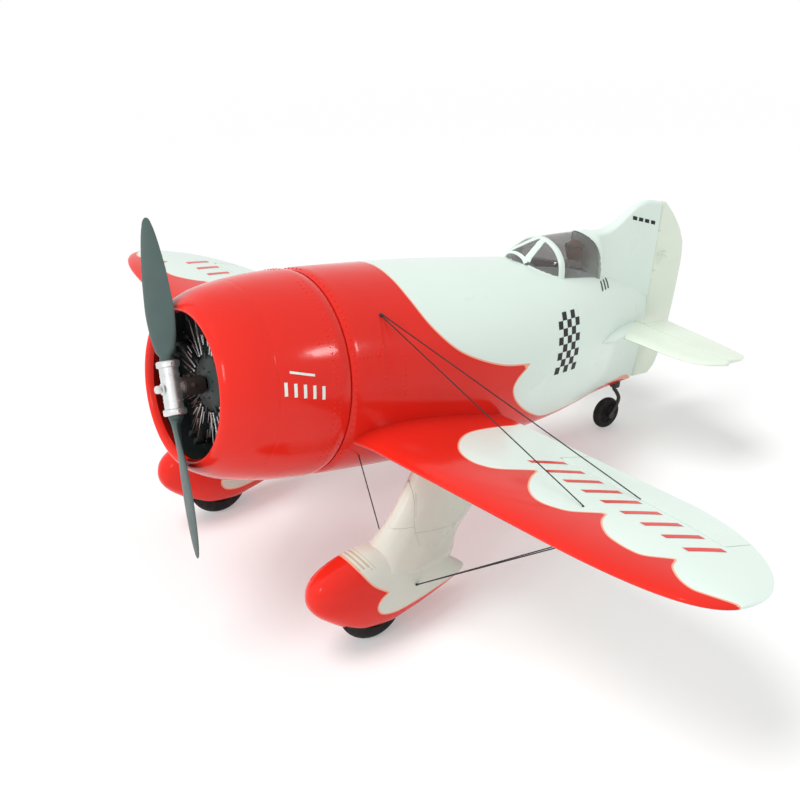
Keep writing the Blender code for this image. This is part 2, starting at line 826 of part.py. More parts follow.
def make_propeller(propeller):
    half = HUB_LENGTH / 2
    outline = [
        (-half, 0.0),
        (-half, COLLAR_RADIUS),
        (-half + COLLAR_WIDTH, COLLAR_RADIUS),
        (-half + COLLAR_WIDTH, HUB_RADIUS),
        (half - COLLAR_WIDTH, HUB_RADIUS),
        (half - COLLAR_WIDTH, COLLAR_RADIUS),
        (half, COLLAR_RADIUS),
        (half, 0.0),
    ]
    hub = turned("propeller_hub", outline, "alloy", 24, closed=False)
    hub.rotation_euler = (0, 0, 0)
    hub.parent = propeller
    nut = rod_mesh((0, -HUB_RADIUS - CLEAR, 0), (0, -HUB_RADIUS - CLEAR - NUT_LENGTH, 0), NUT_RADIUS, 6)
    add("propeller_nut", nut, "steel", propeller)
    for side, name in ((1, "propeller_blade_upper"), (-1, "propeller_blade_lower")):
        foot = half + CLEAR
        rings = [blade_ring(row, side) for row in PROP_STATIONS if row[0] * PROP_RADIUS > foot + 0.003]
        add(name, loft([blade_foot(foot, side)] + rings, name), "green", propeller)


# ---- Wings ----


def aileron_block(inner, outer, grow, wedge):
    """Space of the aileron, whose front is a wedge that clears the wing at full tilt, or a plain wall."""
    deep = 0.040
    back = 0.080
    slope = math.tan(math.radians(AILERON_RANGE + 4)) * deep if wedge else 0.0
    rings = []
    for span in (inner, outer):
        hinge = aileron_hinge(span)
        front = hinge.y - grow
        z = hinge.z
        rings.append(
            [
                (span, front, z),
                (span, front + slope, z + deep),
                (span, hinge.y + back, z + deep),
                (span, hinge.y + back, z - deep),
                (span, front + slope, z - deep),
            ]
        )
    return loft(rings, "aileron_block")


def make_wing():
    wing = add("left_wing", wing_solid(), "red")
    boolean(wing, cutter("body_envelope", body_solid(CLEAR)))
    cut(wing, aileron_block(AILERON_INNER, AILERON_OUTER, SURFACE_GAP, False))
    cut(wing, rod_mesh(*spar_tube_line(SPAR_TUBE_HALF + 0.001), SPAR_TUBE_RADIUS + CLEAR))
    cut(wing, strut_rod(CLEAR))
    return wing


def make_aileron():
    inner = AILERON_INNER + SURFACE_GAP
    outer = AILERON_OUTER - SURFACE_GAP
    surface = add("left_aileron", wing_solid(), "white")
    boolean(surface, cutter("aileron_outline", aileron_block(inner, outer, 0.0, True)), "INTERSECT")
    return surface


def make_spar_tube():
    start, end = spar_tube_line(SPAR_TUBE_HALF)
    tube = add("wing_joiner_tube", rod_mesh(start, end, SPAR_TUBE_RADIUS, 20), "alloy")
    cut(tube, rod_mesh(*spar_tube_line(SPAR_TUBE_HALF + 0.01), SPAR_TUBE_RADIUS - SPAR_TUBE_WALL, 20))


# ---- Tail ----

TAIL_POST_TOP = smooth(BODY_STATIONS, TAIL_POST_AT, 3) + TAIL_POST_RISE


def fin_ring(aft):
    start, end = FIN_TOP[0][0], FIN_TOP[-1][0]
    share = (aft - start) / (end - start)
    fade = (1 - share) ** 2.2
    roof = smooth(FIN_TOP, aft)
    deck = smooth(BODY_STATIONS, aft, 2)
    sill, shoulder = CANOPY_SECTIONS[-1][1], CANOPY_SECTIONS[-1][3]
    blade = FIN_THICK / 2
    root = max(blade, sill * fade + blade * (1 - fade) * 1.3)
    upper = max(blade, shoulder * fade + blade * (1 - fade))
    low = deck * 0.80
    half = [
        (root * 1.02, low),
        (root, deck * 0.93),
        ((root * 0.55 + upper * 0.45), deck + (roof - deck) * 0.40),
        (upper * 0.97, deck + (roof - deck) * 0.74),
        (upper * 0.72, roof - 0.0022),
        (upper * 0.30, roof - 0.0003),
    ]
    return [(w, aft, z) for w, z in half] + [(-w, aft, z) for w, z in reversed(half)]


def make_fin():
    fin = add("tail_fin", loft([fin_ring(row[0]) for row in FIN_TOP], "fin"), "white")
    boolean(fin, cutter("body_envelope_tail", body_solid(CLEAR)))
    return fin


def make_stabilizer():
    tail = add("stabilizer", stabilizer_solid(), "white")
    joiner = (ELEVATOR_HINGE, STAB_HEIGHT)
    cut(tail, rod_mesh((-0.034, *joiner), (0.034, *joiner), ELEVATOR_JOINER_RADIUS + 0.0006))
    return tail


def elevator_ring(span):
    share = span / STAB_HALF_SPAN
    trail = smooth(STAB_TRAILING[::-1], share)
    half = STAB_THICK / 2 * (1 - STAB_TAPER * share) * 0.96
    slope = math.tan(math.radians(ELEVATOR_RANGE + 4))
    z = STAB_HEIGHT
    return [
        (span, ELEVATOR_HINGE, z),
        (span, ELEVATOR_HINGE + half * slope, z + half),
        (span, trail, z + 0.0006),
        (span, trail, z - 0.0006),
        (span, ELEVATOR_HINGE + half * slope, z - half),
    ]


def make_elevator():
    spans = [row[0] * STAB_HALF_SPAN for row in reversed(STAB_TRAILING)]
    places = spans[:-2] + [spans[-2] - SURFACE_GAP]
    blade = add("left_elevator", loft([elevator_ring(s) for s in places], "elevator"), "white")
    joiner = (ELEVATOR_HINGE, STAB_HEIGHT)
    cut(blade, rod_mesh((0, *joiner), (0.034, *joiner), ELEVATOR_JOINER_RADIUS + CLEAR))
    twin = mirror_image(blade, "right_elevator", "white")
    reach = 0.0335
    shape = rod_mesh((-reach, *joiner), (reach, *joiner), ELEVATOR_JOINER_RADIUS, 12)
    rod = add("elevator_joiner", shape, "steel")
    return blade, twin, rod


def rudder_ring(height):
    trail = smooth([(row[1], row[0]) for row in reversed(RUDDER_TRAILING)], height)
    trail = max(trail, RUDDER_HINGE + RUDDER_NOSE)
    nose = [
        (RUDDER_NOSE * math.sin(a), RUDDER_HINGE - RUDDER_NOSE * math.cos(a))
        for a in (math.radians(d) for d in (-90, -55, -20, 20, 55, 90))
    ]
    ring = [(x, aft, height) for x, aft in nose]
    return ring + [(0.0006, trail, height), (-0.0006, trail, height)]


def make_rudder():
    places = [row[1] for row in reversed(RUDDER_TRAILING)]
    return add("rudder", loft([rudder_ring(z) for z in places], "rudder"), "white")


def make_tail_wheel(roll):
    belly = smooth(BODY_STATIONS, TAIL_POST_AT, 3)
    bracket = turned(
        "tail_wheel_bracket",
        [
            (-belly - 0.004, TAIL_POST_RADIUS + RUN),
            (-belly - 0.004, 0.0055),
            (-belly + 0.0040, 0.0045),
            (-belly + 0.0040, TAIL_POST_RADIUS + RUN),
        ],
        "black",
        20,
    )
    bracket.rotation_euler = (0, 0, 0)
    bracket.location = (0, TAIL_POST_AT, 0)
    boolean(bracket, cutter("body_envelope_post", body_solid(CLEAR)))
    side = TAIL_WHEEL_WIDTH / 2 + 0.0035
    low = belly - 0.0060
    route = [
        (0, TAIL_POST_AT, TAIL_POST_TOP),
        (0, TAIL_POST_AT, low),
        (side * 0.35, TAIL_POST_AT + 0.002, low - 0.004),
        (side, TAIL_POST_AT + 0.002, low - 0.010),
        (side, TAIL_POST_AT - 0.001, (low + TAIL_WHEEL_HEIGHT) / 2 - 0.006),
        (side, TAIL_WHEEL_AT, TAIL_WHEEL_HEIGHT + 0.001),
    ]
    fork = wire("tail_wheel_fork", route, TAIL_POST_RADIUS, "black")
    data = baked(fork)
    work = bmesh.new()
    work.from_mesh(data)
    bmesh.ops.remove_doubles(work, verts=work.verts, dist=0.00001)
    work.to_mesh(data)
    work.free()
    bpy.data.objects.remove(fork)
    fork = add("tail_wheel_fork", data, "black")
    axle_end = -TAIL_WHEEL_WIDTH / 2 - 0.0012
    place = (TAIL_WHEEL_AT, TAIL_WHEEL_HEIGHT)
    axle = rod_mesh((side + 0.0012, *place), (axle_end, *place), TAIL_AXLE_RADIUS)
    join(fork, axle)
    half = TAIL_WHEEL_WIDTH / 2
    rim = TAIL_WHEEL_RADIUS
    outline = [
        (-half * 0.8, TAIL_AXLE_RADIUS + RUN),
        (-half * 0.8, rim * 0.55),
        (-half, rim * 0.70),
        (-half * 0.8, rim * 0.92),
        (0, rim),
        (half * 0.8, rim * 0.92),
        (half, rim * 0.70),
        (half * 0.8, rim * 0.55),
        (half * 0.8, TAIL_AXLE_RADIUS + RUN),
    ]
    wheel = turned("tail_wheel", outline, "rubber", 24, roll)
    wheel.rotation_euler = (0, math.pi / 2, 0)
    return fork


# ---- Main gear ----


def pant_ring(row, grow=0.0):
    aft, share, top, bottom = row
    middle = (top + bottom) / 2
    half = (top - bottom) / 2 + grow
    width = PANT_HALF_WIDTH * share + grow
    ring = []
    for k in range(18):
        angle = math.tau * k / 18
        x = width * math.copysign(abs(math.cos(angle)) ** 0.85, math.cos(angle))
        z = half * math.copysign(abs(math.sin(angle)) ** 0.95, math.sin(angle))
        ring.append((WHEEL_SPREAD + x, aft, middle + z))
    return ring


def pant_solid(grow=0.0):
    rows = [list(row) for row in PANT_STATIONS]
    rows[0][0] -= grow
    rows[-1][0] += grow
    return loft([pant_ring(row, grow) for row in rows], "pant")


def pant_side(aft, height):
    """Outer half width of the pant at a point of its side."""
    width = PANT_HALF_WIDTH * smooth(PANT_STATIONS, aft, 1)
    top = smooth(PANT_STATIONS, aft, 2)
    bottom = smooth(PANT_STATIONS, aft, 3)
    rise = (height - (top + bottom) / 2) / ((top - bottom) / 2)
    return width * (1 - rise * rise) ** 0.45


LEG_PROFILE = (  # share of the leg's chord, share of its half thickness
    (0.0, 0.06),
    (0.03, 0.42),
    (0.10, 0.74),
    (0.25, 0.98),
    (0.45, 1.0),
    (0.70, 0.78),
    (0.90, 0.38),
    (1.0, 0.08),
)


def leg_ring(row):
    height, front, rear, half = row
    side = [(front + (rear - front) * share, half * wide) for share, wide in LEG_PROFILE]
    ring = [(WHEEL_SPREAD + wide, aft, height) for aft, wide in side]
    return ring + [(WHEEL_SPREAD - wide, aft, height) for aft, wide in reversed(side)]


def leg_side(aft, height):
    """Half thickness of the leg at a point of its side."""
    rows = sorted(LEG_STATIONS)
    front = smooth(rows, height, 1)
    rear = smooth(rows, height, 2)
    return smooth(rows, height, 3) * smooth(LEG_PROFILE, (aft - front) / (rear - front))


def strut_rod(grow=0.0):
    """The music-wire strut inside the leg, from the wing's block into the pant."""
    top = Vector((WHEEL_SPREAD, STRUT_TOP[0], WING_HEIGHT + STRUT_TOP[1] + grow))
    low = Vector((WHEEL_SPREAD, STRUT_FOOT[0], STRUT_FOOT[1] - STRUT_SINK - grow))
    return rod_mesh(low, top, STRUT_RADIUS + grow, 12)


def make_gear():
    leg = add("left_gear_leg", loft([leg_ring(row) for row in LEG_STATIONS], "leg"), "cream")
    boolean(leg, cutter("wing_envelope", wing_solid(CLEAR)))
    boolean(leg, cutter("pant_envelope", pant_solid(CLEAR)))
    cut(leg, strut_rod(CLEAR))
    pant = add("left_wheel_pant", pant_solid(), "red")
    half_well = WHEEL_WIDTH / 2 + WHEEL_CLEARANCE
    place = (WHEEL_AT, WHEEL_HEIGHT)
    well_radius = WHEEL_RADIUS + WHEEL_CLEARANCE
    well = rod_mesh(
        (WHEEL_SPREAD - half_well, *place), (WHEEL_SPREAD + half_well, *place), well_radius, 40
    )
    cut(pant, well)
    axle_half = PANT_HALF_WIDTH - 0.0015
    ends = ((WHEEL_SPREAD - axle_half, *place), (WHEEL_SPREAD + axle_half, *place))
    past = PANT_HALF_WIDTH + 0.015
    far = ((WHEEL_SPREAD - past, *place), (WHEEL_SPREAD + past, *place))
    cut(pant, rod_mesh(*far, AXLE_RADIUS + CLEAR, 16))
    boolean(pant, cutter("strut_bore", strut_rod(CLEAR)))
    axle = add("left_axle", rod_mesh(*ends, AXLE_RADIUS, 16), "steel")
    strut = add("left_gear_strut", strut_rod(), "steel")
    return leg, pant, axle, strut


def make_wheel(side, pivot):
    half = WHEEL_WIDTH / 2
    tyre = [
        (-half * 0.75, RIM_RADIUS),
        (-half, RIM_RADIUS + 0.006),
        (-half * 0.62, WHEEL_RADIUS * 0.95),
        (0, WHEEL_RADIUS),
        (half * 0.62, WHEEL_RADIUS * 0.95),
        (half, RIM_RADIUS + 0.006),
        (half * 0.75, RIM_RADIUS),
    ]
    bore = AXLE_RADIUS + RUN
    rim = [
        (-half * 0.85, bore),
        (-half * 0.85, 0.0050),
        (-half * 0.35, 0.0070),
        (-half * 0.45, RIM_RADIUS - 0.0025),
        (-half * 0.75, RIM_RADIUS - CLEAR),
        (half * 0.75, RIM_RADIUS - CLEAR),
        (half * 0.45, RIM_RADIUS - 0.0025),
        (half * 0.35, 0.0070),
        (half * 0.85, 0.0050),
        (half * 0.85, bore),
    ]
    pieces = ((side + "_tyre", tyre, "rubber", 28), (side + "_wheel_hub", rim, "alloy", 20))
    for name, outline, finish, steps in pieces:
        piece = turned(name, outline, finish, steps, pivot)
        piece.rotation_euler = (0, math.pi / 2, 0)


# ---- Canopy and cockpit ----


def canopy_arch(row, grow=0.0):
    """Half hoop of the canopy from its left sill over the roof to the right one, sunk into the deck."""
    aft, sill, foot, shoulder, roof = row
    half = [
        (sill + grow, foot - 0.006),
        (sill + grow, foot),
        (sill * 0.86 + shoulder * 0.14 + grow, foot + (roof - foot) * 0.42),
        (sill * 0.42 + shoulder * 0.58 + grow, foot + (roof - foot) * 0.75),
        (shoulder * 0.72 + grow * 0.7, roof - (roof - foot) * 0.06 + grow * 0.7),
    ]
    hoop = [(w, aft, z) for w, z in half] + [(0.0, aft, roof + grow)]
    return hoop + [(-w, aft, z) for w, z in reversed(half)]


def canopy_sheet(grow=0.0):
    rows = CANOPY_SECTIONS
    count = len(canopy_arch(rows[0]))
    points = [p for row in rows for p in canopy_arch(row, grow)]
    faces = []
    for k in range(len(rows) - 1):
        for i in range(count - 1):
            faces.append((k * count + i, k * count + i + 1, (k + 1) * count + i + 1, (k + 1) * count + i))
    faces.append(tuple(range(count)))
    return mesh_of(points, faces, "canopy")


def thickened(item, wall, outward):
    step = item.modifiers.new("wall", "SOLIDIFY")
    step.thickness = wall
    step.offset = 1.0 if outward else -1.0
    step.use_even_offset = False


def bar(start, end, width):
    """Upright slab over a line of the canopy's plan."""
    start = Vector(start)
    end = Vector(end)
    side = (end - start).orthogonal().normalized() * width / 2
    plan = [start + side, end + side, end - side, start - side]
    return loft([[(*p, z) for p in plan] for z in (0.05, 0.14)], "bar")


def make_canopy():
    glass = add("canopy_glass", canopy_sheet(), "glass")
    thickened(glass, CANOPY_WALL, False)
    boolean(glass, cutter("body_envelope_glass", body_solid(CLEAR)))
    hoop = CANOPY_ARCH_AT
    slabs = cutter("frame_slabs", bar((-0.06, hoop), (0.06, hoop), CANOPY_BAR))
    front = CANOPY_SECTIONS[1]
    for side in (1, -1):
        line = bar((side * (front[1] + 0.004), front[0] - 0.003), (side * 0.004, hoop + 0.001), CANOPY_BAR)
        boolean(slabs, cutter("frame_bar", line), "UNION")
    frame = add("canopy_frame", canopy_sheet(CLEAR), "white")
    thickened(frame, 0.0010, True)
    boolean(frame, slabs, "INTERSECT")
    boolean(frame, cutter("body_envelope_frame", body_solid(CLEAR)))


def make_cockpit():
    floor_top = COCKPIT_FLOOR
    low = (-0.1, COCKPIT_FRONT - 0.006, floor_top - 0.0020)
    high = (0.1, COCKPIT_REAR + 0.006, floor_top)
    floor = add("cockpit_floor", box_mesh(low, high), "black")
    boolean(floor, cutter("floor_fit", inner_solid(CLEAR)), "INTERSECT")
    panel_high = (COCKPIT_HALF_WIDTH - 0.001, COCKPIT_FRONT + 0.0060, 0.0800)
    panel_low = (-COCKPIT_HALF_WIDTH + 0.001, COCKPIT_FRONT + 0.0045, floor_top + CLEAR)
    panel = add("instrument_panel", box_mesh(panel_low, panel_high), "black")
    bevelled(panel, 0.0005)
    seat_at = 0.4400
    torso = ellipsoid_mesh((0, seat_at, floor_top + 0.0165), (0.0150, 0.0090, 0.0160), 12, 8)
    pilot = add("pilot_figure", torso, "tan")
    join(pilot, rod_mesh((0, seat_at, floor_top + CLEAR), (0, seat_at, floor_top + 0.012), 0.0120, 12))
    join(pilot, rod_mesh((0, seat_at, floor_top + 0.026), (0, seat_at, floor_top + 0.044), 0.0045, 12))
    join(pilot, ellipsoid_mesh((0, seat_at - 0.001, floor_top + 0.0500), (0.0092, 0.0105, 0.0120), 12, 8))


# ---- Radio gear and power ----


def inside_plate(name, front, rear, top):
    wide = BODY_STATIONS[0][1] * 2
    plate = add(name, box_mesh((-wide, front, top - PLY_THICK), (wide, rear, top)), "ply")
    boolean(plate, cutter(name + "_fit", inner_solid(CLEAR)), "INTERSECT")
    return plate


def block(name, centre, size, base, finish, width=0.001):
    """Bevelled case standing on a surface at height base."""
    low = (centre[0] - size[0] / 2, centre[1] - size[1] / 2, base + CLEAR)
    high = (centre[0] + size[0] / 2, centre[1] + size[1] / 2, base + CLEAR + size[2])
    case = add(name, box_mesh(low, high), finish)
    bevelled(case, width)
    return case


def make_radio():
    start = FIREWALL_AT + FIREWALL_THICK + CLEAR
    inside_plate("battery_tray", start, TRAY_REAR, TRAY_TOP)
    block("battery", (0.0, BATTERY_AT), BATTERY, TRAY_TOP, "blue", 0.0030)
    gap = (BATTERY[0] + SPEED_CONTROLLER[0]) / 2 + 0.0115
    block("speed_controller", (gap, BATTERY_AT - 0.030), SPEED_CONTROLLER, TRAY_TOP, "black")
    gap = (BATTERY[0] + RECEIVER[0]) / 2 + 0.0115
    block("receiver", (-gap, BATTERY_AT - 0.005), RECEIVER, TRAY_TOP, "black")
    inside_plate("servo_tray", SERVO_AT - SERVO_TRAY_HALF, SERVO_AT + SERVO_TRAY_HALF, 0.0)
    for name, side in (("elevator_servo", 1), ("rudder_servo", -1)):
        place = (side * SERVO_SPREAD, SERVO_AT)
        servo = block(name, place, SERVO, 0.0, "blue")
        output = (place[0], SERVO_AT - SERVO[1] * 0.2)
        join(servo, rod_mesh((*output, SERVO[2] - 0.002), (*output, SERVO[2] + 0.003), SERVO[0] * 0.35))
    wide = BODY_STATIONS[0][1] * 2
    plate = box_mesh((-wide, FORMER_AT, -wide), (wide, FORMER_AT + PLY_THICK, FORMER_TOP))
    former = add("rear_former", plate, "ply")
    boolean(former, cutter("former_fit", inner_solid(CLEAR)), "INTERSECT")
    half, low, high = FORMER_OPENING
    cut(former, box_mesh((-half, FORMER_AT - 0.01, low), (half, FORMER_AT + 0.01, high)))


# ---- Rigging ----


def wing_skin(span, aft, proud, above=True):
    """Point beside the wing's upper or lower surface."""
    lead, trail = wing_edges(span)
    half = wing_thickness(span, (aft - lead) / (trail - lead))
    rise = half * 1.15 + proud if above else -half * 0.85 - proud
    return (span, aft, wing_height(span, aft) + rise)


def make_rigging():
    proud = WIRE_RADIUS + CLEAR
    aft, degrees = UPPER_ANCHOR
    eye = 0.0012
    front, rear = (wing_skin(*end, proud + 0.0002) for end in UPPER_WIRE_ENDS)
    route = [front, body_point(aft - eye, degrees, proud), body_point(aft + eye, degrees, proud), rear]
    upper = wire("left_upper_wires", route, WIRE_RADIUS, "black")
    aft, height = LOWER_ANCHOR
    side = WHEEL_SPREAD + pant_side(aft, height) + proud + 0.0004
    front, rear = (wing_skin(*end, proud + 0.0002, False) for end in LOWER_WIRE_ENDS)
    route = [front, (side, aft - eye, height), (side, aft + eye, height), rear]
    lower = wire("left_lower_wires", route, WIRE_RADIUS, "black")
    aft, height = INNER_FOOT
    foot = (WHEEL_SPREAD - leg_side(aft, height) - proud - 0.0004, aft, height)
    inner = wire("left_inner_wire", [body_point(*INNER_ANCHOR, CLEAR), foot], WIRE_RADIUS, "black")
    return upper, lower, inner


# ---- Assembly ----


def axis_empty(name, place, parent=None):
    pivot = bpy.data.objects.new(name, None)
    pivot.empty_display_size = 0.02
    PARTS.objects.link(pivot)
    pivot.parent = parent or stance
    pivot.location = place
    return pivot


def seat_on_axis(items, pivot):
    """Parents pieces to a joint's empty, which gives them its axis as their origin."""
    for item in items:
        item.data.transform(Matrix.Translation(-pivot.location))
        item.parent = pivot


def stand_on_wheels():
    """Tips the aircraft onto its wheels and centres its box over the origin."""
    run = TAIL_WHEEL_AT - WHEEL_AT
    rise = TAIL_WHEEL_HEIGHT - WHEEL_HEIGHT
    tilt = math.atan2(rise, run) + math.asin((WHEEL_RADIUS - TAIL_WHEEL_RADIUS) / math.hypot(run, rise))
    stance.rotation_euler = (-tilt, 0, 0)
    bpy.context.view_layer.update()
    graph = bpy.context.evaluated_depsgraph_get()
    corners = []
    for item in PARTS.objects:
        if item.type == "EMPTY":
            continue
        solid = item.evaluated_get(graph)
        shape = solid.to_mesh()
        corners += [item.matrix_world @ v.co for v in shape.vertices]
        solid.to_mesh_clear()
    low = [min(p[i] for p in corners) for i in range(3)]
    high = [max(p[i] for p in corners) for i in range(3)]
    stance.location = (0.0, -(low[1] + high[1]) / 2, -low[2])


def main():
    propeller = axis_empty("propeller_axis", (0, PROP_AT, 0))
    make_fuselage()
    make_hatch()
    make_cowl()
    make_firewall()
    make_motor_mount()
    make_motor(propeller)
    make_dummy_engine()
    make_propeller(propeller)
    propeller.rotation_euler = (0, -math.radians(PROP_TURN), 0)
    make_spar_tube()
    aileron = make_aileron()
    pairs = [make_wing(), *make_gear(), *make_rigging()]
    for item in pairs:
        name = item.name.replace("left", "right")
        mirror_image(item, name, item["finish"])
    hinge = (aileron_hinge(AILERON_INNER) + aileron_hinge(AILERON_OUTER)) / 2
    twin = mirror_image(aileron, "right_aileron", "white")
    seat_on_axis([aileron], axis_empty("left_aileron_axis", hinge))
    seat_on_axis([twin], axis_empty("right_aileron_axis", (-hinge.x, hinge.y, hinge.z)))
    for side, sign in (("left", 1), ("right", -1)):
        place = (sign * WHEEL_SPREAD, WHEEL_AT, WHEEL_HEIGHT)
        make_wheel(side, axis_empty(side + "_wheel_axis", place))
    make_fin()
    make_stabilizer()
    pivot = axis_empty("elevator_axis", (0, ELEVATOR_HINGE, STAB_HEIGHT))
    seat_on_axis(make_elevator(), pivot)
    seat_on_axis([make_rudder()], axis_empty("rudder_axis", (0, RUDDER_HINGE, 0)))
    steering = axis_empty("tail_steering_axis", (0, TAIL_POST_AT, TAIL_WHEEL_HEIGHT))
    roll = axis_empty("tail_wheel_axis", (0, TAIL_WHEEL_AT - TAIL_POST_AT, 0), steering)
    fork = make_tail_wheel(roll)
    seat_on_axis([fork], steering)
    make_canopy()
    make_cockpit()
    make_radio()
    stand_on_wheels()


main()
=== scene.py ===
"""Radio-controlled scale racing monoplane: the dressed model, its stage and its camera.

Shapes are laid out in the aircraft's own level axes: x towards its left wing, y aft from the cowl's lip and
z up from the thrust line. STANCE then sets them on the ground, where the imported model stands.
"""

import math
import random

import bmesh
import bpy
import numpy as np
from mathutils import Matrix, Vector
from mathutils.bvhtree import BVHTree


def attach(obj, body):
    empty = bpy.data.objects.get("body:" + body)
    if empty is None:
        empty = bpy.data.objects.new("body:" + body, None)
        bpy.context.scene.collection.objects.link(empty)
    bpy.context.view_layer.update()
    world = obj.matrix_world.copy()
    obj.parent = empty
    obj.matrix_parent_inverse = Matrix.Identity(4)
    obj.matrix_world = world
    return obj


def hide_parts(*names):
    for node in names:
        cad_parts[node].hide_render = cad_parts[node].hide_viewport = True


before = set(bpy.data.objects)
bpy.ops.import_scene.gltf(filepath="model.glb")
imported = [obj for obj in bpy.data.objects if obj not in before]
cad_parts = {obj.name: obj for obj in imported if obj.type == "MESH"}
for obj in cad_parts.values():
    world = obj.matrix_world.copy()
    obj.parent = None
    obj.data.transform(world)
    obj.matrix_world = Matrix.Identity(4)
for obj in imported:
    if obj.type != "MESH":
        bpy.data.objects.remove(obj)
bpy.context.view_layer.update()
random.seed(7)

ORIGIN = (0, 0, 0)
LEFTWARD = (1, 0, 0)
AFTWARD = (0, 1, 0)
FORWARD = (0, -1, 0)
UPWARD = (0, 0, 1)
STANCE = Matrix.Translation((0, -0.2936682, 0.2294611)) @ Matrix.Rotation(-0.2091803104, 4, "X")

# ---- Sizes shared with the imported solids, metres ----

# Distance aft, half width, height of the top, height of the bottom.
BODY_STATIONS = (
    (0.117, 0.0962, 0.0962, -0.0962),
    (0.150, 0.0966, 0.0966, -0.0968),
    (0.200, 0.0970, 0.0966, -0.0970),
    (0.260, 0.0960, 0.0955, -0.0965),
    (0.320, 0.0915, 0.0930, -0.0935),
    (0.370, 0.0845, 0.0905, -0.0895),
    (0.420, 0.0715, 0.0870, -0.0840),
    (0.460, 0.0560, 0.0800, -0.0785),
    (0.500, 0.0375, 0.0690, -0.0720),
    (0.540, 0.0195, 0.0560, -0.0670),
    (0.571, 0.0070, 0.0470, -0.0630),
)
COWL_REAR = 0.1164
COWL_REAR_RADIUS = 0.0961
COWL_EDGE_RADIUS = 0.0955
COWL_GROOVE = 0.0462
# Distance aft and radius, from inside the lip to the rear; the two tables below go on inside.
COWL_OUTLINE = (
    (0.0060, 0.0650),
    (0.0016, 0.0668),
    (0.0000, 0.0700),
    (0.0022, 0.0738),
    (0.0090, 0.0785),
    (0.0280, 0.0862),
    (0.0630, 0.0927),
    (0.0960, 0.0955),
)
COWL_LIP_INSIDE = (
    (0.0300, 0.0815),
    (0.0140, 0.0722),
    (0.0090, 0.0672),
)
COWL_INSIDE = (
    (0.0960, 0.0936),
    (0.0620, 0.0905),
    (0.0300, 0.0845),
)
COWL_WALL = 0.0018
SEAM_DEPTH = 0.0024
SEAM_ROWS = (0.1182, 0.1200, 0.1220, 0.1240, 0.1262)
FIREWALL_FRONT = 0.1094
FIREWALL_REAR = 0.1300
FIREWALL_RADIUS = 0.0905
ENGINE_FRONT = 0.0235
CYLINDERS = 9
CYLINDER_AT = 0.0375
PROP_RADIUS = 0.1505
PROP_AT = -0.0092
PROP_TURN = math.radians(-25.4)
# Share of the blade's length, chord, thickness, pitch in degrees.
PROP_STATIONS = (
    (0.115, 0.0130, 0.0110, 44.0),
    (0.200, 0.0190, 0.0078, 34.0),
    (0.330, 0.0300, 0.0058, 24.0),
    (0.480, 0.0360, 0.0044, 17.5),
    (0.640, 0.0345, 0.0034, 14.0),
    (0.800, 0.0275, 0.0026, 12.0),
    (0.920, 0.0185, 0.0020, 11.0),
    (0.985, 0.0090, 0.0015, 11.0),
)
WING_HALF_SPAN = 0.476
WING_ROUND = 0.159
WING_ROOT = 0.070
FILLET_REACH = 0.046
FILLET_THICK = 0.011
WING_THICK = 0.117
AILERON_INNER = 0.207
AILERON_OUTER = 0.405
AILERON_CHORD = 0.0400
AILERON_RANGE = 22.0
SURFACE_GAP = 0.0008
STAB_HALF_SPAN = 0.151
STAB_HEIGHT = 0.0090
STAB_THICK = 0.0085
# Distance from the middle and distance aft.
STAB_LEADING = (
    (0.0000, 0.4880),
    (0.0300, 0.4930),
    (0.0680, 0.4995),
    (0.1030, 0.5020),
    (0.1300, 0.5090),
    (0.1440, 0.5200),
    (0.1510, 0.5400),
)
STAB_TRAILING = (
    (0.0190, 0.5970),
    (0.0690, 0.5945),
    (0.1170, 0.5900),
    (0.1380, 0.5860),
    (0.1470, 0.5720),
    (0.1510, 0.5540),
)
ELEVATOR_HINGE = 0.5490
# Distance aft, reach beyond the body's side, half height.
ROOT_FAIRING = (
    (0.4500, -0.0020, 0.0010),
    (0.4600, 0.0016, 0.0048),
    (0.4720, 0.0062, 0.0074),
    (0.4860, 0.0105, 0.0084),
    (0.5020, 0.0120, 0.0080),
    (0.5200, 0.0110, 0.0066),
    (0.5380, 0.0080, 0.0050),
)
# Distance aft and height.
FIN_TOP = (
    (0.4673, 0.1140),
    (0.4850, 0.1150),
    (0.4970, 0.1178),
    (0.5100, 0.1245),
    (0.5240, 0.1345),
    (0.5370, 0.1415),
    (0.5510, 0.1445),
    (0.5707, 0.1425),
)
FIN_THICK = 0.0090
RUDDER_HINGE = 0.5750
RUDDER_NOSE = 0.0035
# Height and distance aft.
RUDDER_TRAILING = (
    (-0.0590, 0.6000),
    (-0.0480, 0.6090),
    (-0.0250, 0.6150),
    (0.0050, 0.6195),
    (0.0400, 0.6215),
    (0.0700, 0.6220),
    (0.0900, 0.6200),
    (0.1075, 0.6120),
    (0.1270, 0.5960),
    (0.1420, 0.5790),
)
WHEEL_SPREAD = 0.1405
WHEEL_AT = 0.1265
WHEEL_HEIGHT = -0.1745
WHEEL_RADIUS = 0.0325
WHEEL_WIDTH = 0.0210
RIM_RADIUS = 0.0175
WHEEL_CLEARANCE = 0.0035
PANT_HALF_WIDTH = 0.0250
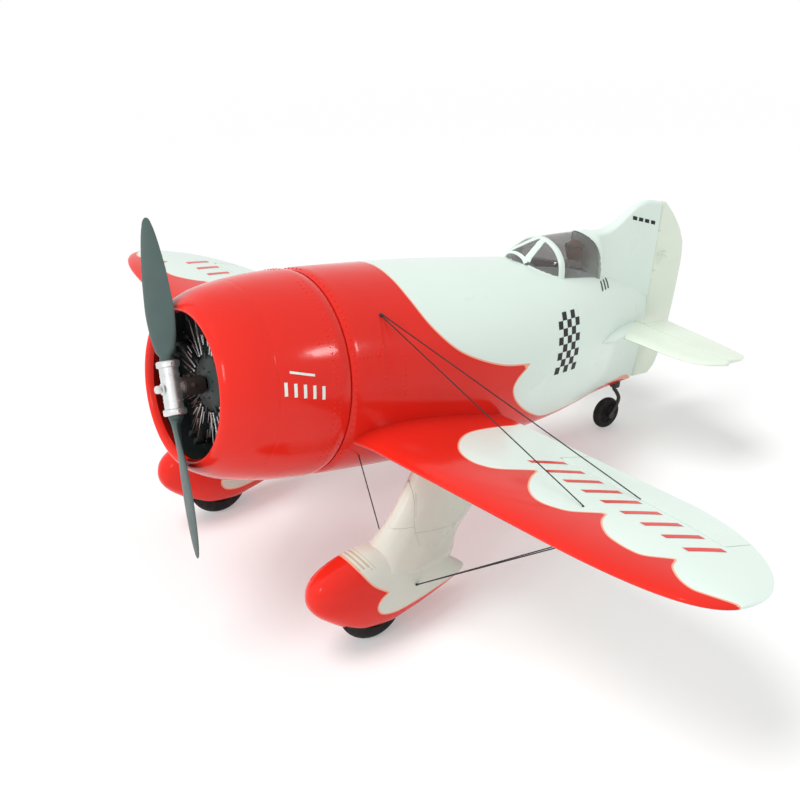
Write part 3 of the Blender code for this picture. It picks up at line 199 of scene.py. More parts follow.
# Distance aft, share of the half width, height of the top, height of the bottom.
PANT_STATIONS = (
    (0.0570, 0.10, -0.1490, -0.1550),
    (0.0600, 0.36, -0.1410, -0.1630),
    (0.0670, 0.60, -0.1335, -0.1705),
    (0.0800, 0.82, -0.1260, -0.1780),
    (0.0960, 0.95, -0.1195, -0.1845),
    (0.1150, 1.00, -0.1150, -0.1885),
    (0.1380, 1.00, -0.1140, -0.1890),
    (0.1640, 0.93, -0.1190, -0.1830),
    (0.1900, 0.74, -0.1300, -0.1735),
    (0.2110, 0.48, -0.1430, -0.1655),
    (0.2240, 0.25, -0.1505, -0.1605),
    (0.2290, 0.10, -0.1540, -0.1575),
)
PANT_BELLY = 0.0048
# Height, leading edge, trailing edge, half thickness.
LEG_STATIONS = (
    (-0.1420, 0.1180, 0.2080, 0.0170),
    (-0.1260, 0.1120, 0.2120, 0.0190),
    (-0.1130, 0.1220, 0.2180, 0.0170),
    (-0.1000, 0.1320, 0.2270, 0.0150),
    (-0.0810, 0.1430, 0.2390, 0.0140),
    (-0.0550, 0.1550, 0.2480, 0.0135),
    (-0.0350, 0.1640, 0.2560, 0.0135),
)
# Share of the chord and share of the half thickness.
LEG_PROFILE = (
    (0.0, 0.06),
    (0.03, 0.42),
    (0.10, 0.74),
    (0.25, 0.98),
    (0.45, 1.0),
    (0.70, 0.78),
    (0.90, 0.38),
    (1.0, 0.08),
)
TAIL_WHEEL_AT = 0.5435
TAIL_WHEEL_HEIGHT = -0.1008
TAIL_WHEEL_RADIUS = 0.0180
TAIL_WHEEL_WIDTH = 0.0085
TAIL_POST_AT = 0.5500
# Distance aft, half width and height of the sill, half width of the roof, height of the roof.
CANOPY_SECTIONS = (
    (0.3650, 0.0035, 0.0895, 0.0015, 0.0925),
    (0.3730, 0.0165, 0.0875, 0.0075, 0.0965),
    (0.3850, 0.0285, 0.0830, 0.0125, 0.1020),
    (0.4050, 0.0345, 0.0780, 0.0160, 0.1100),
    (0.4250, 0.0325, 0.0765, 0.0170, 0.1120),
    (0.4450, 0.0280, 0.0750, 0.0165, 0.1132),
    (0.4670, 0.0225, 0.0735, 0.0145, 0.1140),
    (0.4760, 0.0208, 0.0728, 0.0138, 0.1146),
)
CANOPY_ARCH_AT = 0.4055
CANOPY_FRONT_ARCH = 0.3735
CANOPY_REAR = 0.4670
GLASS_REAR = 0.4752
# Height and distance aft of the glazing's rear edge.
GLASS_EDGE = (
    (0.0600, 0.4752),
    (0.0740, 0.4750),
    (0.0900, 0.4718),
    (0.1030, 0.4670),
    (0.1100, 0.4615),
    (0.1150, 0.4560),
)
COCKPIT_FRONT = 0.3830
COCKPIT_REAR = 0.4620
COCKPIT_HALF_WIDTH = 0.0190
COCKPIT_FLOOR = 0.0480
HATCH_FRONT = 0.1450
HATCH_REAR = 0.2550
HATCH_HALF_WIDTH = 0.0300
MARK_PROUD = 0.00022
WIRE_RADIUS = 0.0006
# Ends of the wires: on the body, distance aft and degrees up; on the wing, distance out and aft; on the
# pant and the leg, distance aft and height.
UPPER_ANCHOR = (0.1600, 47.5)
UPPER_WIRE_ENDS = ((0.3080, 0.1968), (0.3101, 0.2608))
LOWER_WIRE_ENDS = ((0.3215, 0.1850), (0.3270, 0.2450))
LOWER_ANCHOR = (0.1570, -0.1490)
INNER_ANCHOR = (0.1424, -36.0)
INNER_FOOT = (0.1410, -0.1130)

# ---- Curves and mesh helpers ----


def curve_value(table, at, column=1):
    """Values of a column of a table on a curve through its rows that never overshoots."""
    xs = np.array([row[0] for row in table])
    ys = np.array([row[column] for row in table])
    slopes = np.diff(ys) / np.diff(xs)
    tangents = np.zeros(len(xs))
    tangents[0] = slopes[0]
    tangents[-1] = slopes[-1]
    product = slopes[:-1] * slopes[1:]
    total = np.where(np.abs(slopes[:-1] + slopes[1:]) < 1e-12, 1.0, slopes[:-1] + slopes[1:])
    tangents[1:-1] = np.where(product <= 0, 0.0, 2 * product / total)
    single = np.ndim(at) == 0
    at = np.clip(np.asarray(at, float), xs[0], xs[-1])
    k = np.clip(np.searchsorted(xs, at) - 1, 0, len(slopes) - 1)
    step = xs[k + 1] - xs[k]
    t = (at - xs[k]) / step
    ease = t * t * (3 - 2 * t)
    start = t * (1 - t) ** 2 * tangents[k] * step
    end = t * t * (t - 1) * tangents[k + 1] * step
    made = ys[k] * (1 - ease) + ys[k + 1] * ease + start + end
    return float(made) if single else made


def refined(values, step):
    """Positions with more of them between, no further apart than a step."""
    made = []
    for a, b in zip(values, values[1:]):
        count = max(1, math.ceil(abs(b - a) / step))
        made += [a + (b - a) * k / count for k in range(count)]
    return made + [values[-1]]


def turns(count, shift=0.0):
    """Angles of a number of places spread evenly round a circle."""
    return [math.tau * (k + shift) / count for k in range(count)]


def side_name(side):
    return "left" if side > 0 else "right"


def piece(name, points, faces, finish, body, smooth_angle=35.0):
    """Object in the row's frame from points in the aircraft's axes."""
    data = bpy.data.meshes.new(name)
    data.from_pydata([tuple(p) for p in points], [], faces)
    work = bmesh.new()
    work.from_mesh(data)
    bmesh.ops.remove_doubles(work, verts=work.verts, dist=1e-7)
    bmesh.ops.recalc_face_normals(work, faces=work.faces)
    work.to_mesh(data)
    work.free()
    return settle(name, data, finish, body, smooth_angle)


def settle(name, data, finish, body, smooth_angle=35.0):
    """Sets a mesh on the ground, and gives it its material, its shading and the body that it moves with."""
    data.transform(STANCE)
    data.shade_smooth()
    data.set_sharp_from_angle(angle=math.radians(smooth_angle))
    item = bpy.data.objects.new(name, data)
    bpy.context.scene.collection.objects.link(item)
    data.materials.clear()
    data.materials.append(finish)
    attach(item, body)
    return item


def dress(node):
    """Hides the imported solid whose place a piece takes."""
    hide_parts(node)


def grid_faces(rows, count, closed=True, offset=0):
    """Four-sided faces between rows of points, which are rings where they are closed."""
    faces = []
    last = count if closed else count - 1
    for k in range(rows - 1):
        for i in range(last):
            j = (i + 1) % count
            a = offset + k * count
            faces.append((a + i, a + j, a + j + count, a + i + count))
    return faces


class Build:
    """Collects several shapes into one mesh."""

    def __init__(self):
        self.points = []
        self.faces = []

    def take(self, points, faces):
        base = len(self.points)
        self.points += [Vector(p) for p in points]
        self.faces += [tuple(base + i for i in face) for face in faces]

    def rings(self, rings, caps=True):
        """Skin over rings with the same number of points, with a face over each end where it has caps."""
        count = len(rings[0])
        points = [p for ring in rings for p in ring]
        faces = grid_faces(len(rings), count)
        if caps:
            faces.append(tuple(range(count)))
            faces.append(tuple(range((len(rings) - 1) * count, len(rings) * count)))
        self.take(points, faces)

    def tube(self, route, radius, sides=10):
        """Round rod along a route; the radius is one number or one for each point."""
        route = [Vector(p) for p in route]
        radii = radius if hasattr(radius, "__len__") else [radius] * len(route)
        rings = []
        side = None
        for k, place in enumerate(route):
            ahead = (route[min(k + 1, len(route) - 1)] - route[max(k - 1, 0)]).normalized()
            side = ahead.orthogonal() if side is None else side - ahead * side.dot(ahead)
            side.normalize()
            up = ahead.cross(side)
            rings.append([place + (side * math.cos(a) + up * math.sin(a)) * radii[k] for a in turns(sides)])
        self.rings(rings)

    def lathe(self, outline, origin, axis, steps, closed=False):
        """Outline of (distance along the axis, radius) turned about an axis."""
        axis = Vector(axis).normalized()
        side = axis.orthogonal().normalized()
        up = axis.cross(side)
        origin = Vector(origin)
        rows = list(outline) + ([outline[0]] if closed else [])
        rings = []
        for along, radius in rows:
            middle = origin + axis * along
            radius = max(radius, 1e-6)
            rings.append([middle + (side * math.cos(a) + up * math.sin(a)) * radius for a in turns(steps)])
        self.rings(rings, caps=False)

    def box(self, centre, size, turn=None, bevel=0.0):
        """Block with round edges where it has a bevel, turned by a matrix about its centre."""
        work = bmesh.new()
        bmesh.ops.create_cube(work, size=1.0)
        for v in work.verts:
            v.co = Vector([v.co[i] * size[i] for i in range(3)])
        if bevel:
            bmesh.ops.bevel(work, geom=work.edges[:], offset=bevel, segments=2, affect="EDGES", profile=0.5)
        for v in work.verts:
            v.co = (turn @ v.co if turn else v.co) + Vector(centre)
        work.verts.index_update()
        self.take([v.co.copy() for v in work.verts], [tuple(v.index for v in f.verts) for f in work.faces])
        work.free()

    def ball(self, centre, radii, steps=16, rows=10, turn=None):
        """Ellipsoid with three radii, turned by a matrix about its centre where one is given."""
        wide, deep, high = radii
        points = []
        for k in range(rows + 1):
            lat = math.pi * k / rows - math.pi / 2
            for a in turns(steps):
                across = wide * math.cos(lat) * math.cos(a)
                local = Vector((across, deep * math.cos(lat) * math.sin(a), high * math.sin(lat)))
                points.append((turn @ local if turn else local) + Vector(centre))
        self.take(points, grid_faces(rows + 1, steps))

    def rivet(self, centre, out, radii, steps, rows):
        """Flat ball whose third radius points out of a skin."""
        self.ball(centre, radii, steps, rows, out.to_track_quat("Z", "Y").to_matrix())

    def mirrored(self):
        made = Build()
        made.points = [Vector((-p.x, p.y, p.z)) for p in self.points]
        made.faces = [face[::-1] for face in self.faces]
        return made

    def on_side(self, side):
        """A shape laid out on the left, or its mirror image for the right."""
        return self if side > 0 else self.mirrored()

    def done(self, name, finish, body, smooth_angle=35.0):
        return piece(name, self.points, self.faces, finish, body, smooth_angle)


def both_sides(build, name, finish):
    """Piece of the airframe from shapes laid out on the left and their mirror images."""
    other = build.mirrored()
    build.take(other.points, other.faces)
    build.done(name, finish, "airframe", 60)


def local_points(item):
    """Vertices of a piece in the aircraft's axes, as an array."""
    co = np.empty(len(item.data.vertices) * 3)
    item.data.vertices.foreach_get("co", co)
    back = np.array(STANCE.inverted())
    return co.reshape(-1, 3) @ back[:3, :3].T + back[:3, 3]


def set_field(item, name, values):
    """Stores one number for each vertex, which a material reads."""
    layer = item.data.attributes.new(name, "FLOAT", "POINT")
    layer.data.foreach_set("value", np.asarray(values, np.float32))


def arc_path(points, cusps, step=0.002):
    """Smooth path through points, with a sharp corner at the numbered ones."""
    points = [np.array(p, float) for p in points]
    marks = [0] + sorted(cusps) + [len(points) - 1]
    made = []
    for a, b in zip(marks, marks[1:]):
        run = points[a:b + 1]
        for k in range(len(run) - 1):
            p1, p2 = run[k], run[k + 1]
            p0 = run[k - 1] if k else 2 * p1 - p2
            p3 = run[k + 2] if k + 2 < len(run) else 2 * p2 - p1
            count = max(2, int(np.linalg.norm(p2 - p1) / step))
            for t in np.arange(count) / count:
                made.append(0.5 * (2 * p1 + (p2 - p0) * t + (2 * p0 - 5 * p1 + 4 * p2 - p3) * t ** 2
                                   + (3 * p1 - p0 - 3 * p2 + p3) * t ** 3))
    return np.array(made + [points[-1]])


def side_of(points, path, closing):
    """Distance from points in a plane to a path, negative inside the area that the closing points finish."""
    a = path[:-1]
    b = path[1:]
    run = b - a
    length = np.maximum((run ** 2).sum(1), 1e-12)
    best = np.full(len(points), 1e9)
    for k in range(len(a)):
        t = np.clip(((points - a[k]) @ run[k]) / length[k], 0, 1)
        gap = points - (a[k] + t[:, None] * run[k])
        best = np.minimum(best, (gap ** 2).sum(1))
    loop = np.concatenate([path, np.array(closing, float)])
    inside = np.zeros(len(points), bool)
    for p, q in zip(loop, np.roll(loop, -1, axis=0)):
        crosses = (p[1] > points[:, 1]) != (q[1] > points[:, 1])
        rise = q[1] - p[1] if q[1] != p[1] else 1e-12
        at = p[0] + (points[:, 1] - p[1]) / rise * (q[0] - p[0])
        inside ^= crosses & (points[:, 0] < at)
    return np.where(inside, -1.0, 1.0) * np.sqrt(best)


def baked(item):
    """Applies a piece's modifiers to its mesh."""
    graph = bpy.context.evaluated_depsgraph_get()
    graph.update()
    data = bpy.data.meshes.new_from_object(item.evaluated_get(graph), depsgraph=graph)
    old = item.data
    item.modifiers.clear()
    item.data = data
    bpy.data.meshes.remove(old)
    return item


def carve(item, build, operation="DIFFERENCE"):
    """Cuts a closed shape in the aircraft's axes out of a piece, or keeps what lies inside it."""
    data = bpy.data.meshes.new("tool")
    data.from_pydata([tuple(STANCE @ Vector(p)) for p in build.points], [], build.faces)
    work = bmesh.new()
    work.from_mesh(data)
    bmesh.ops.recalc_face_normals(work, faces=work.faces)
    work.to_mesh(data)
    work.free()
    tool = bpy.data.objects.new("tool", data)
    bpy.context.scene.collection.objects.link(tool)
    step = item.modifiers.new("carve", "BOOLEAN")
    step.operation = operation
    step.object = tool
    step.solver = "EXACT"
    baked(item)
    bpy.data.objects.remove(tool)
    return item

# ---- Materials ----

RED = (0.76, 0.022, 0.012)
WHITE = (0.76, 0.88, 0.81)
EDGE = (0.86, 0.40, 0.27)
CREAM = (0.66, 0.67, 0.59)
STRIPE_TAN = (0.52, 0.45, 0.31)
STRIPE_PITCH = 0.0042
STRIPES_MIDDLE = 0.0070
STRIPES_REACH = 0.0064


class Finish:
    """Procedural material: colour that drifts between two tones, uneven roughness and a fine bump."""

    def __init__(self, name, roughness=0.3, metallic=0.0, coat=0.0, specular=0.5):
        self.material = bpy.data.materials.new(name)
        self.material.use_nodes = True
        self.tree = self.material.node_tree
        self.shader = self.tree.nodes["Principled BSDF"]
        self.shader.inputs["Metallic"].default_value = metallic
        self.shader.inputs["Roughness"].default_value = roughness
        self.shader.inputs["Coat Weight"].default_value = coat
        self.shader.inputs["Coat Roughness"].default_value = 0.06
        self.shader.inputs["Specular IOR Level"].default_value = specular
        self.place = self.tree.nodes.new("ShaderNodeTexCoord").outputs["Object"]
        self.colour = None
        self.height = None

    def node(self, kind, **sockets):
        made = self.tree.nodes.new(kind)
        for key, value in sockets.items():
            socket = made.inputs[key.replace("_", " ")]
            if isinstance(value, bpy.types.NodeSocket):
                self.tree.links.new(value, socket)
            else:
                socket.default_value = value
        return made

    def noise(self, scale, detail=3.0, stretch=None):
        place = self.place
        if stretch:
            spread = self.tree.nodes.new("ShaderNodeMapping")
            spread.inputs["Scale"].default_value = stretch
            self.tree.links.new(place, spread.inputs["Vector"])
            place = spread.outputs["Vector"]
        return self.node("ShaderNodeTexNoise", Vector=place, Scale=scale, Detail=detail).outputs["Fac"]

    def remap(self, value, low, high, start=0.0, end=1.0):
        made = self.tree.nodes.new("ShaderNodeMapRange")
        self.tree.links.new(value, made.inputs["Value"])
        for key, number in (("From Min", low), ("From Max", high), ("To Min", start), ("To Max", end)):
            made.inputs[key].default_value = number
        return made.outputs["Result"]

    def maths(self, operation, first, second=None):
        made = self.tree.nodes.new("ShaderNodeMath")
        made.operation = operation
        for slot_number, value in enumerate((first, second)):
            if isinstance(value, bpy.types.NodeSocket):
                self.tree.links.new(value, made.inputs[slot_number])
            elif value is not None:
                made.inputs[slot_number].default_value = value
        return made.outputs["Value"]

    def mix(self, factor, first, second):
        made = self.tree.nodes.new("ShaderNodeMix")
        made.data_type = "RGBA"
        self.tree.links.new(factor, made.inputs["Factor"])
        for key, value in (("A", first), ("B", second)):
            socket = next(s for s in made.inputs if s.name == key and s.type == "RGBA")
            if isinstance(value, bpy.types.NodeSocket):
                self.tree.links.new(value, socket)
            else:
                socket.default_value = (*value, 1.0)
        return next(s for s in made.outputs if s.type == "RGBA")

    def field(self, name):
        made = self.tree.nodes.new("ShaderNodeAttribute")
        made.attribute_name = name
        return made.outputs["Fac"]

    def drift(self, colour, share=0.92, scale=14.0):
        """Slow change between a colour and a slightly deeper one."""
        deep = tuple(c * share for c in colour)
        return self.mix(self.remap(self.noise(scale, 4.0), 0.20, 0.80), deep, colour)

    def rough(self, low, high, scale=30.0):
        value = self.remap(self.noise(scale, 5.0), 0.3, 0.7, low, high)
        self.tree.links.new(value, self.shader.inputs["Roughness"])

    def bump(self, value, distance, strength=1.0):
        made = self.tree.nodes.new("ShaderNodeBump")
        made.inputs["Strength"].default_value = strength
        made.inputs["Distance"].default_value = distance
        self.tree.links.new(value, made.inputs["Height"])
        if self.height is not None:
            self.tree.links.new(self.height, made.inputs["Normal"])
        self.height = made.outputs["Normal"]

    def pebble(self):
        """The fine grain of moulded foam under paint, and its slow waves."""
        self.bump(self.noise(420.0, 2.0), 0.00006, 0.6)
        self.bump(self.noise(38.0, 2.0), 0.0006, 0.35)

    def done(self, colour):
        self.tree.links.new(colour, self.shader.inputs["Base Color"])
        if self.height is not None:
            self.tree.links.new(self.height, self.shader.inputs["Normal"])
        return self.material


def paint(name, colour, rough, coat):
    """Sprayed paint over moulded foam: a faint pebble under a clear gloss."""
    made = Finish(name, coat=coat, specular=0.2)
    made.rough(*rough)
    made.pebble()
    return made.done(made.drift(colour, 0.94))


def two_tone(name, white=WHITE, stripes=False):
    """Red and white paint parted along the field called paint, with a thin peach edge."""
    made = Finish(name, coat=0.08, specular=0.2)
    where = made.field("paint")
    red = made.drift(RED, 0.92)
    pale = made.drift(white, 0.955, 9.0)
    base = made.mix(made.remap(where, -0.00025, 0.00025), red, pale)
    if stripes:
        wave = made.maths("SINE", made.maths("MULTIPLY", made.field("stripe"), math.tau / STRIPE_PITCH))
        off_middle = made.maths("ABSOLUTE", made.maths("SUBTRACT", made.field("stripe"), STRIPES_MIDDLE))
        inside = made.remap(off_middle, STRIPES_REACH, STRIPES_REACH - 0.0003)
        lines = made.maths("MULTIPLY", made.remap(wave, 0.10, 0.40), inside)
        base = made.mix(lines, base, STRIPE_TAN)
    gap = made.maths("ABSOLUTE", made.maths("SUBTRACT", where, 0.0004))
    base = made.mix(made.remap(gap, 0.0010, 0.0005), base, EDGE)
    sheen = made.remap(where, -0.0003, 0.0003, 0.15, 0.30)
    uneven = made.maths("ADD", sheen, made.remap(made.noise(30.0, 5.0), 0.3, 0.7, -0.03, 0.05))
    made.tree.links.new(uneven, made.shader.inputs["Roughness"])
    made.pebble()
    return made.done(base)


def plastic(name, colour, rough=(0.40, 0.55), share=0.8, grain=0.00008, scale=1400.0, coat=0.0):
    """Moulded plastic with a fine matt grain."""
    made = Finish(name, coat=coat)
    made.rough(*rough, scale=120.0)
    made.bump(made.noise(scale, 3.0), grain, 0.7)
    return made.done(made.drift(colour, share, 60.0))


def metal(name, colour, rough):
    """Machined metal with a fine grain and a few dull patches."""
    made = Finish(name, metallic=1.0)
    made.rough(*rough, scale=220.0)
    made.bump(made.noise(900.0, 3.0), 0.00004, 0.6)
    return made.done(made.drift(colour, 0.85, 90.0))


def rubber(name):
    made = Finish(name, specular=0.3)
    made.rough(0.62, 0.85, 160.0)
    made.bump(made.noise(1700.0, 4.0), 0.00015, 0.8)
    dust = made.remap(made.noise(70.0, 5.0), 0.50, 0.75)
    return made.done(made.mix(dust, (0.010, 0.010, 0.010), (0.030, 0.029, 0.027)))


def timber(name):
    """Thin plywood: long grain with darker lines."""
    made = Finish(name)
    made.rough(0.55, 0.75, 90.0)
    grain = made.noise(55.0, 6.0, (1.0, 12.0, 12.0))
    made.bump(grain, 0.0002, 0.5)
    tone = made.mix(made.remap(grain, 0.30, 0.68), (0.42, 0.27, 0.14), (0.68, 0.50, 0.30))
    return made.done(made.mix(made.remap(made.noise(8.0), 0.35, 0.7), tone, (0.60, 0.43, 0.25)))


def smoked(name):
    """Clear plastic with a smoke tint and a wipe of haze."""
    made = Finish(name, specular=0.6)
    made.rough(0.04, 0.10, 40.0)
    haze = made.remap(made.noise(25.0, 3.0), 0.35, 0.65)
    shade = made.mix(haze, (0.100, 0.088, 0.085), (0.145, 0.128, 0.122))
    alpha = made.remap(made.noise(18.0, 2.0), 0.3, 0.7, 0.36, 0.44)
    made.tree.links.new(alpha, made.shader.inputs["Alpha"])
    return made.done(shade)


TWO_TONE = two_tone("two_tone_paint")
PANT_PAINT = two_tone("pant_paint", (0.68, 0.71, 0.63), stripes=True)
RED_PAINT = paint("red_paint", RED, (0.13, 0.20), 0.10)
WHITE_PAINT = paint("white_paint", WHITE, (0.26, 0.36), 0.25)
TAIL_PAINT = paint("tail_paint", (0.78, 0.86, 0.74), (0.32, 0.45), 0.15)
CREAM_PAINT = paint("cream_paint", CREAM, (0.22, 0.32), 0.35)
DARK_LINE = plastic("dark_line", (0.10, 0.09, 0.085), (0.5, 0.6))
SEAM_LINE = plastic("seam_line", (0.40, 0.39, 0.33), (0.5, 0.6))
RED_SEAM = plastic("red_seam", (0.33, 0.012, 0.008), (0.35, 0.45))
BLACK_PLASTIC = plastic("black_plastic", (0.020, 0.021, 0.021))
GREEN_PLASTIC = plastic("green_plastic", (0.052, 0.088, 0.082), (0.40, 0.50), 0.82, 0.0001, 900.0)
GREEN_DARK = plastic("crankcase_green", (0.034, 0.050, 0.047), (0.42, 0.55), 0.85)
ENGINE_BLACK = plastic("engine_black", (0.022, 0.030, 0.028), (0.45, 0.60))
HOUSING = plastic("housing_brown", (0.050, 0.036, 0.032), (0.50, 0.62))
FIN_SILVER = metal("fin_silver", (0.80, 0.82, 0.80), (0.25, 0.40))
ALLOY = metal("alloy_satin", (0.84, 0.86, 0.86), (0.38, 0.50))
STEEL = metal("steel_ground", (0.60, 0.60, 0.61), (0.20, 0.32))
COPPER = metal("copper_windings", (0.72, 0.34, 0.16), (0.35, 0.5))
RUBBER = rubber("rubber_black")
PLYWOOD = timber("plywood")
SMOKED = smoked("smoked_glass")
WIRE_BLACK = plastic("wire_black", (0.012, 0.014, 0.014), (0.55, 0.70), 0.7, 0.0002, 2600.0)
BATTERY_BLUE = plastic("battery_blue", (0.030, 0.070, 0.300), (0.20, 0.34), 0.85, 0.0003, 120.0, coat=0.4)
SERVO_BLUE = plastic("servo_blue", (0.040, 0.100, 0.330), (0.25, 0.35), 0.85)
LEATHER_TAN = plastic("leather_tan", (0.40, 0.19, 0.085), (0.45, 0.6), 0.7, 0.0004, 500.0)
MARK_BLACK = paint("mark_black", (0.012, 0.013, 0.013), (0.30, 0.42), 0.05)
SKIN_TONE = plastic("skin_tone", (0.56, 0.27, 0.16), (0.45, 0.55), 0.85)
SCARF_WHITE = plastic("scarf_white", (0.72, 0.72, 0.68), (0.6, 0.75), 0.85, 0.0005, 320.0)
JACKET_BROWN = plastic("jacket_brown", (0.085, 0.055, 0.040), (0.45, 0.6), 0.7, 0.0004, 420.0)

# ---- Fuselage ----


def body_width(aft):
    return curve_value(BODY_STATIONS, aft, 1)


def body_top(aft):
    return curve_value(BODY_STATIONS, aft, 2)


def body_bottom(aft):
    return curve_value(BODY_STATIONS, aft, 3)


def seam_sink(aft):
    """How far the skin draws in towards the soft valley between cowl and fuselage."""
    reach = 0.0110 if aft < COWL_REAR + 0.0004 else 0.0090
    return SEAM_DEPTH * max(0.0, 1 - abs(aft - COWL_REAR) / reach) ** 2


def body_skin(aft, degrees, proud=0.0):
    """Point on the fuselage skin, degrees up from its left side."""
    angle = math.radians(degrees)
    proud -= seam_sink(aft)
    width = body_width(aft)
    height = body_top(aft) if math.sin(angle) > 0 else -body_bottom(aft)
    skin = Vector((width * math.cos(angle), aft, height * math.sin(angle)))
    out = Vector((math.cos(angle) / width, 0, math.sin(angle) / height)).normalized()
    return skin + out * proud


def body_unroll(points):
    """Places on the skin laid flat: distance aft, and distance round the body from its top."""
    mean = (body_width(points[:, 1]) + (body_top(points[:, 1]) - body_bottom(points[:, 1])) / 2) / 2
    turn = np.arctan2(np.abs(points[:, 0]), points[:, 2])
    return np.stack([points[:, 1], turn * mean], 1)


# Edge between red and white on the left side of the body, millimetres.
BODY_EDGE = np.array(
    [
        (0.0, 194.3, 97.0),
        (8.9, 194.0, 96.5),
        (31.8, 194.6, 91.5),
        (55.8, 198.2, 79.3),
        (75.5, 208.9, 60.6),
        (87.7, 231.7, 40.1),
        (92.2, 260.1, 26.7),
        (92.1, 292.6, 17.3),
        (90.2, 326.7, 13.7),
        (92.3, 310.6, 0.5),
        (91.8, 308.2, -11.7),
        (87.6, 321.3, -27.5),
        (75.5, 351.1, -45.8),
        (58.9, 389.0, -59.6),
        (44.6, 437.8, -60.7),
        (31.0, 478.0, -60.5),
        (17.0, 520.0, -62.0),
        (8.0, 550.0, -62.5),
        (4.0, 575.0, -61.5),
    ]
) / 1000
BODY_CUSP = 8


def paint_body(item):
    flat = arc_path(body_unroll(BODY_EDGE), [BODY_CUSP])
    closing = [(0.60, 0.40), (0.05, 0.40), (0.05, -0.02), (flat[0][0], -0.02)]
    set_field(item, "paint", side_of(body_unroll(local_points(item)), flat, closing))


def body_columns(aft, per=(9, 58, 14)):
    """Angles round the body, with columns that keep to the sides of the cockpit and the hatch."""
    crown = math.pi / 2
    width = body_width(aft)
    top = math.acos(min(COCKPIT_HALF_WIDTH / width, 0.80))
    low = math.acos(min(HATCH_HALF_WIDTH / width, 0.80))
    marks = [crown, top, -low, -crown]
    half = []
    for (a, b), count in zip(zip(marks, marks[1:]), per):
        half += [a + (b - a) * k / count for k in range(count)]
    right = [math.pi - a for a in reversed(half[1:])]
    return half + [-crown] + right


def make_fuselage():
    marks = sorted(
        [row[0] for row in BODY_STATIONS]
        + [COCKPIT_FRONT, COCKPIT_REAR, HATCH_FRONT, HATCH_REAR]
        + list(SEAM_ROWS)
    )
    places = refined(marks, 0.0024)
    rings = []
    for aft in places:
        sink = seam_sink(aft)
        width = body_width(aft) - sink
        top = body_top(aft) - sink
        bottom = -body_bottom(aft) - sink
        rings.append(
            [
                (width * math.cos(a), aft, (top if math.sin(a) > 0 else bottom) * math.sin(a))
                for a in body_columns(aft)
            ]
        )
    count = len(rings[0])
    faces = []
    for k, (a, b) in enumerate(zip(places, places[1:])):
        middle = (a + b) / 2
        in_cockpit = COCKPIT_FRONT < middle < COCKPIT_REAR
        in_hatch = HATCH_FRONT < middle < HATCH_REAR
        for i in range(count):
            j = (i + 1) % count
            x = (rings[k][i][0] + rings[k][j][0]) / 2
            z = rings[k][i][2]
            if in_cockpit and z > 0 and abs(x) < COCKPIT_HALF_WIDTH - 0.0005:
                continue
            if in_hatch and z < 0 and abs(x) < HATCH_HALF_WIDTH - 0.0005:
                continue
            faces.append((k * count + i, k * count + j, (k + 1) * count + j, (k + 1) * count + i))
    faces.append(tuple(range((len(rings) - 1) * count, len(rings) * count)))
    item = piece("fuselage_shell", [p for ring in rings for p in ring], faces, TWO_TONE, "airframe")
    wall = item.modifiers.new("wall", "SOLIDIFY")
    wall.thickness = 0.0022
    wall.offset = -1.0
    baked(item)
    paint_body(item)
    item.data.shade_smooth()
    item.data.set_sharp_from_angle(angle=math.radians(38))
    dress("fuselage")


def make_hatch():
    gap = 0.0006
    places = refined([HATCH_FRONT + gap, HATCH_REAR - gap], 0.004)
    across = 24
    points = []
    for depth in (0.0, 0.0030):
        for aft in places:
            width = body_width(aft)
            low = body_bottom(aft) + depth
            for i in range(across + 1):
                x = (HATCH_HALF_WIDTH - gap) * (2 * i / across - 1)
                points.append((x, aft, low * math.sqrt(1 - (x / width) ** 2)))
    count = across + 1
    faces = grid_faces(len(places), count, closed=False)
    faces += [f[::-1] for f in grid_faces(len(places), count, closed=False, offset=len(places) * count)]
    base = len(places) * count
    rim = list(range(count)) + [k * count + across for k in range(1, len(places))]
    rim += [(len(places) - 1) * count + i for i in range(across - 1, -1, -1)]
    rim += [k * count for k in range(len(places) - 2, 0, -1)]
    for a, b in zip(rim, rim[1:] + rim[:1]):
        faces.append((a, b, b + base, a + base))
    item = piece("hatch_cover", points, faces, RED_PAINT, "battery_hatch")
    dress("battery_hatch")
    grip = Build()
    for k in range(5):
        aft = HATCH_REAR - 0.010 - k * 0.0022
        low = body_bottom(aft)
        route = [(x, aft, low * math.sqrt(1 - (x / 0.096) ** 2)) for x in np.linspace(-0.008, 0.008, 9)]
        grip.tube(route, 0.0005, 6)
    grip.done("hatch_grip", RED_SEAM, "battery_hatch")


def rivet_rows():
    """Places of the rivets on the left side: distance aft and degrees up from the side."""
    rows = [(aft, 26.0) for aft in np.arange(0.1250, 0.1560, 0.0042)]
    rows += [(0.1525, deg) for deg in np.arange(33.0, 4.0, -2.7)]
    rows += [(0.1728, deg) for deg in np.arange(25.0, 3.0, -2.7)]
    rows += [(0.1205, deg) for deg in np.arange(84.0, -40.0, -4.0)]
    return rows


def make_rivets():
    made = Build()
    for aft, degrees in rivet_rows():
        centre = body_skin(aft, degrees, -0.00012)
        out = (body_skin(aft, degrees, 0.001) - body_skin(aft, degrees)).normalized()
        made.rivet(centre, out, (0.0011, 0.0011, 0.00075), 8, 4)
    both_sides(made, "fuselage_rivets", RED_PAINT)


# ---- Cowl and firewall ----


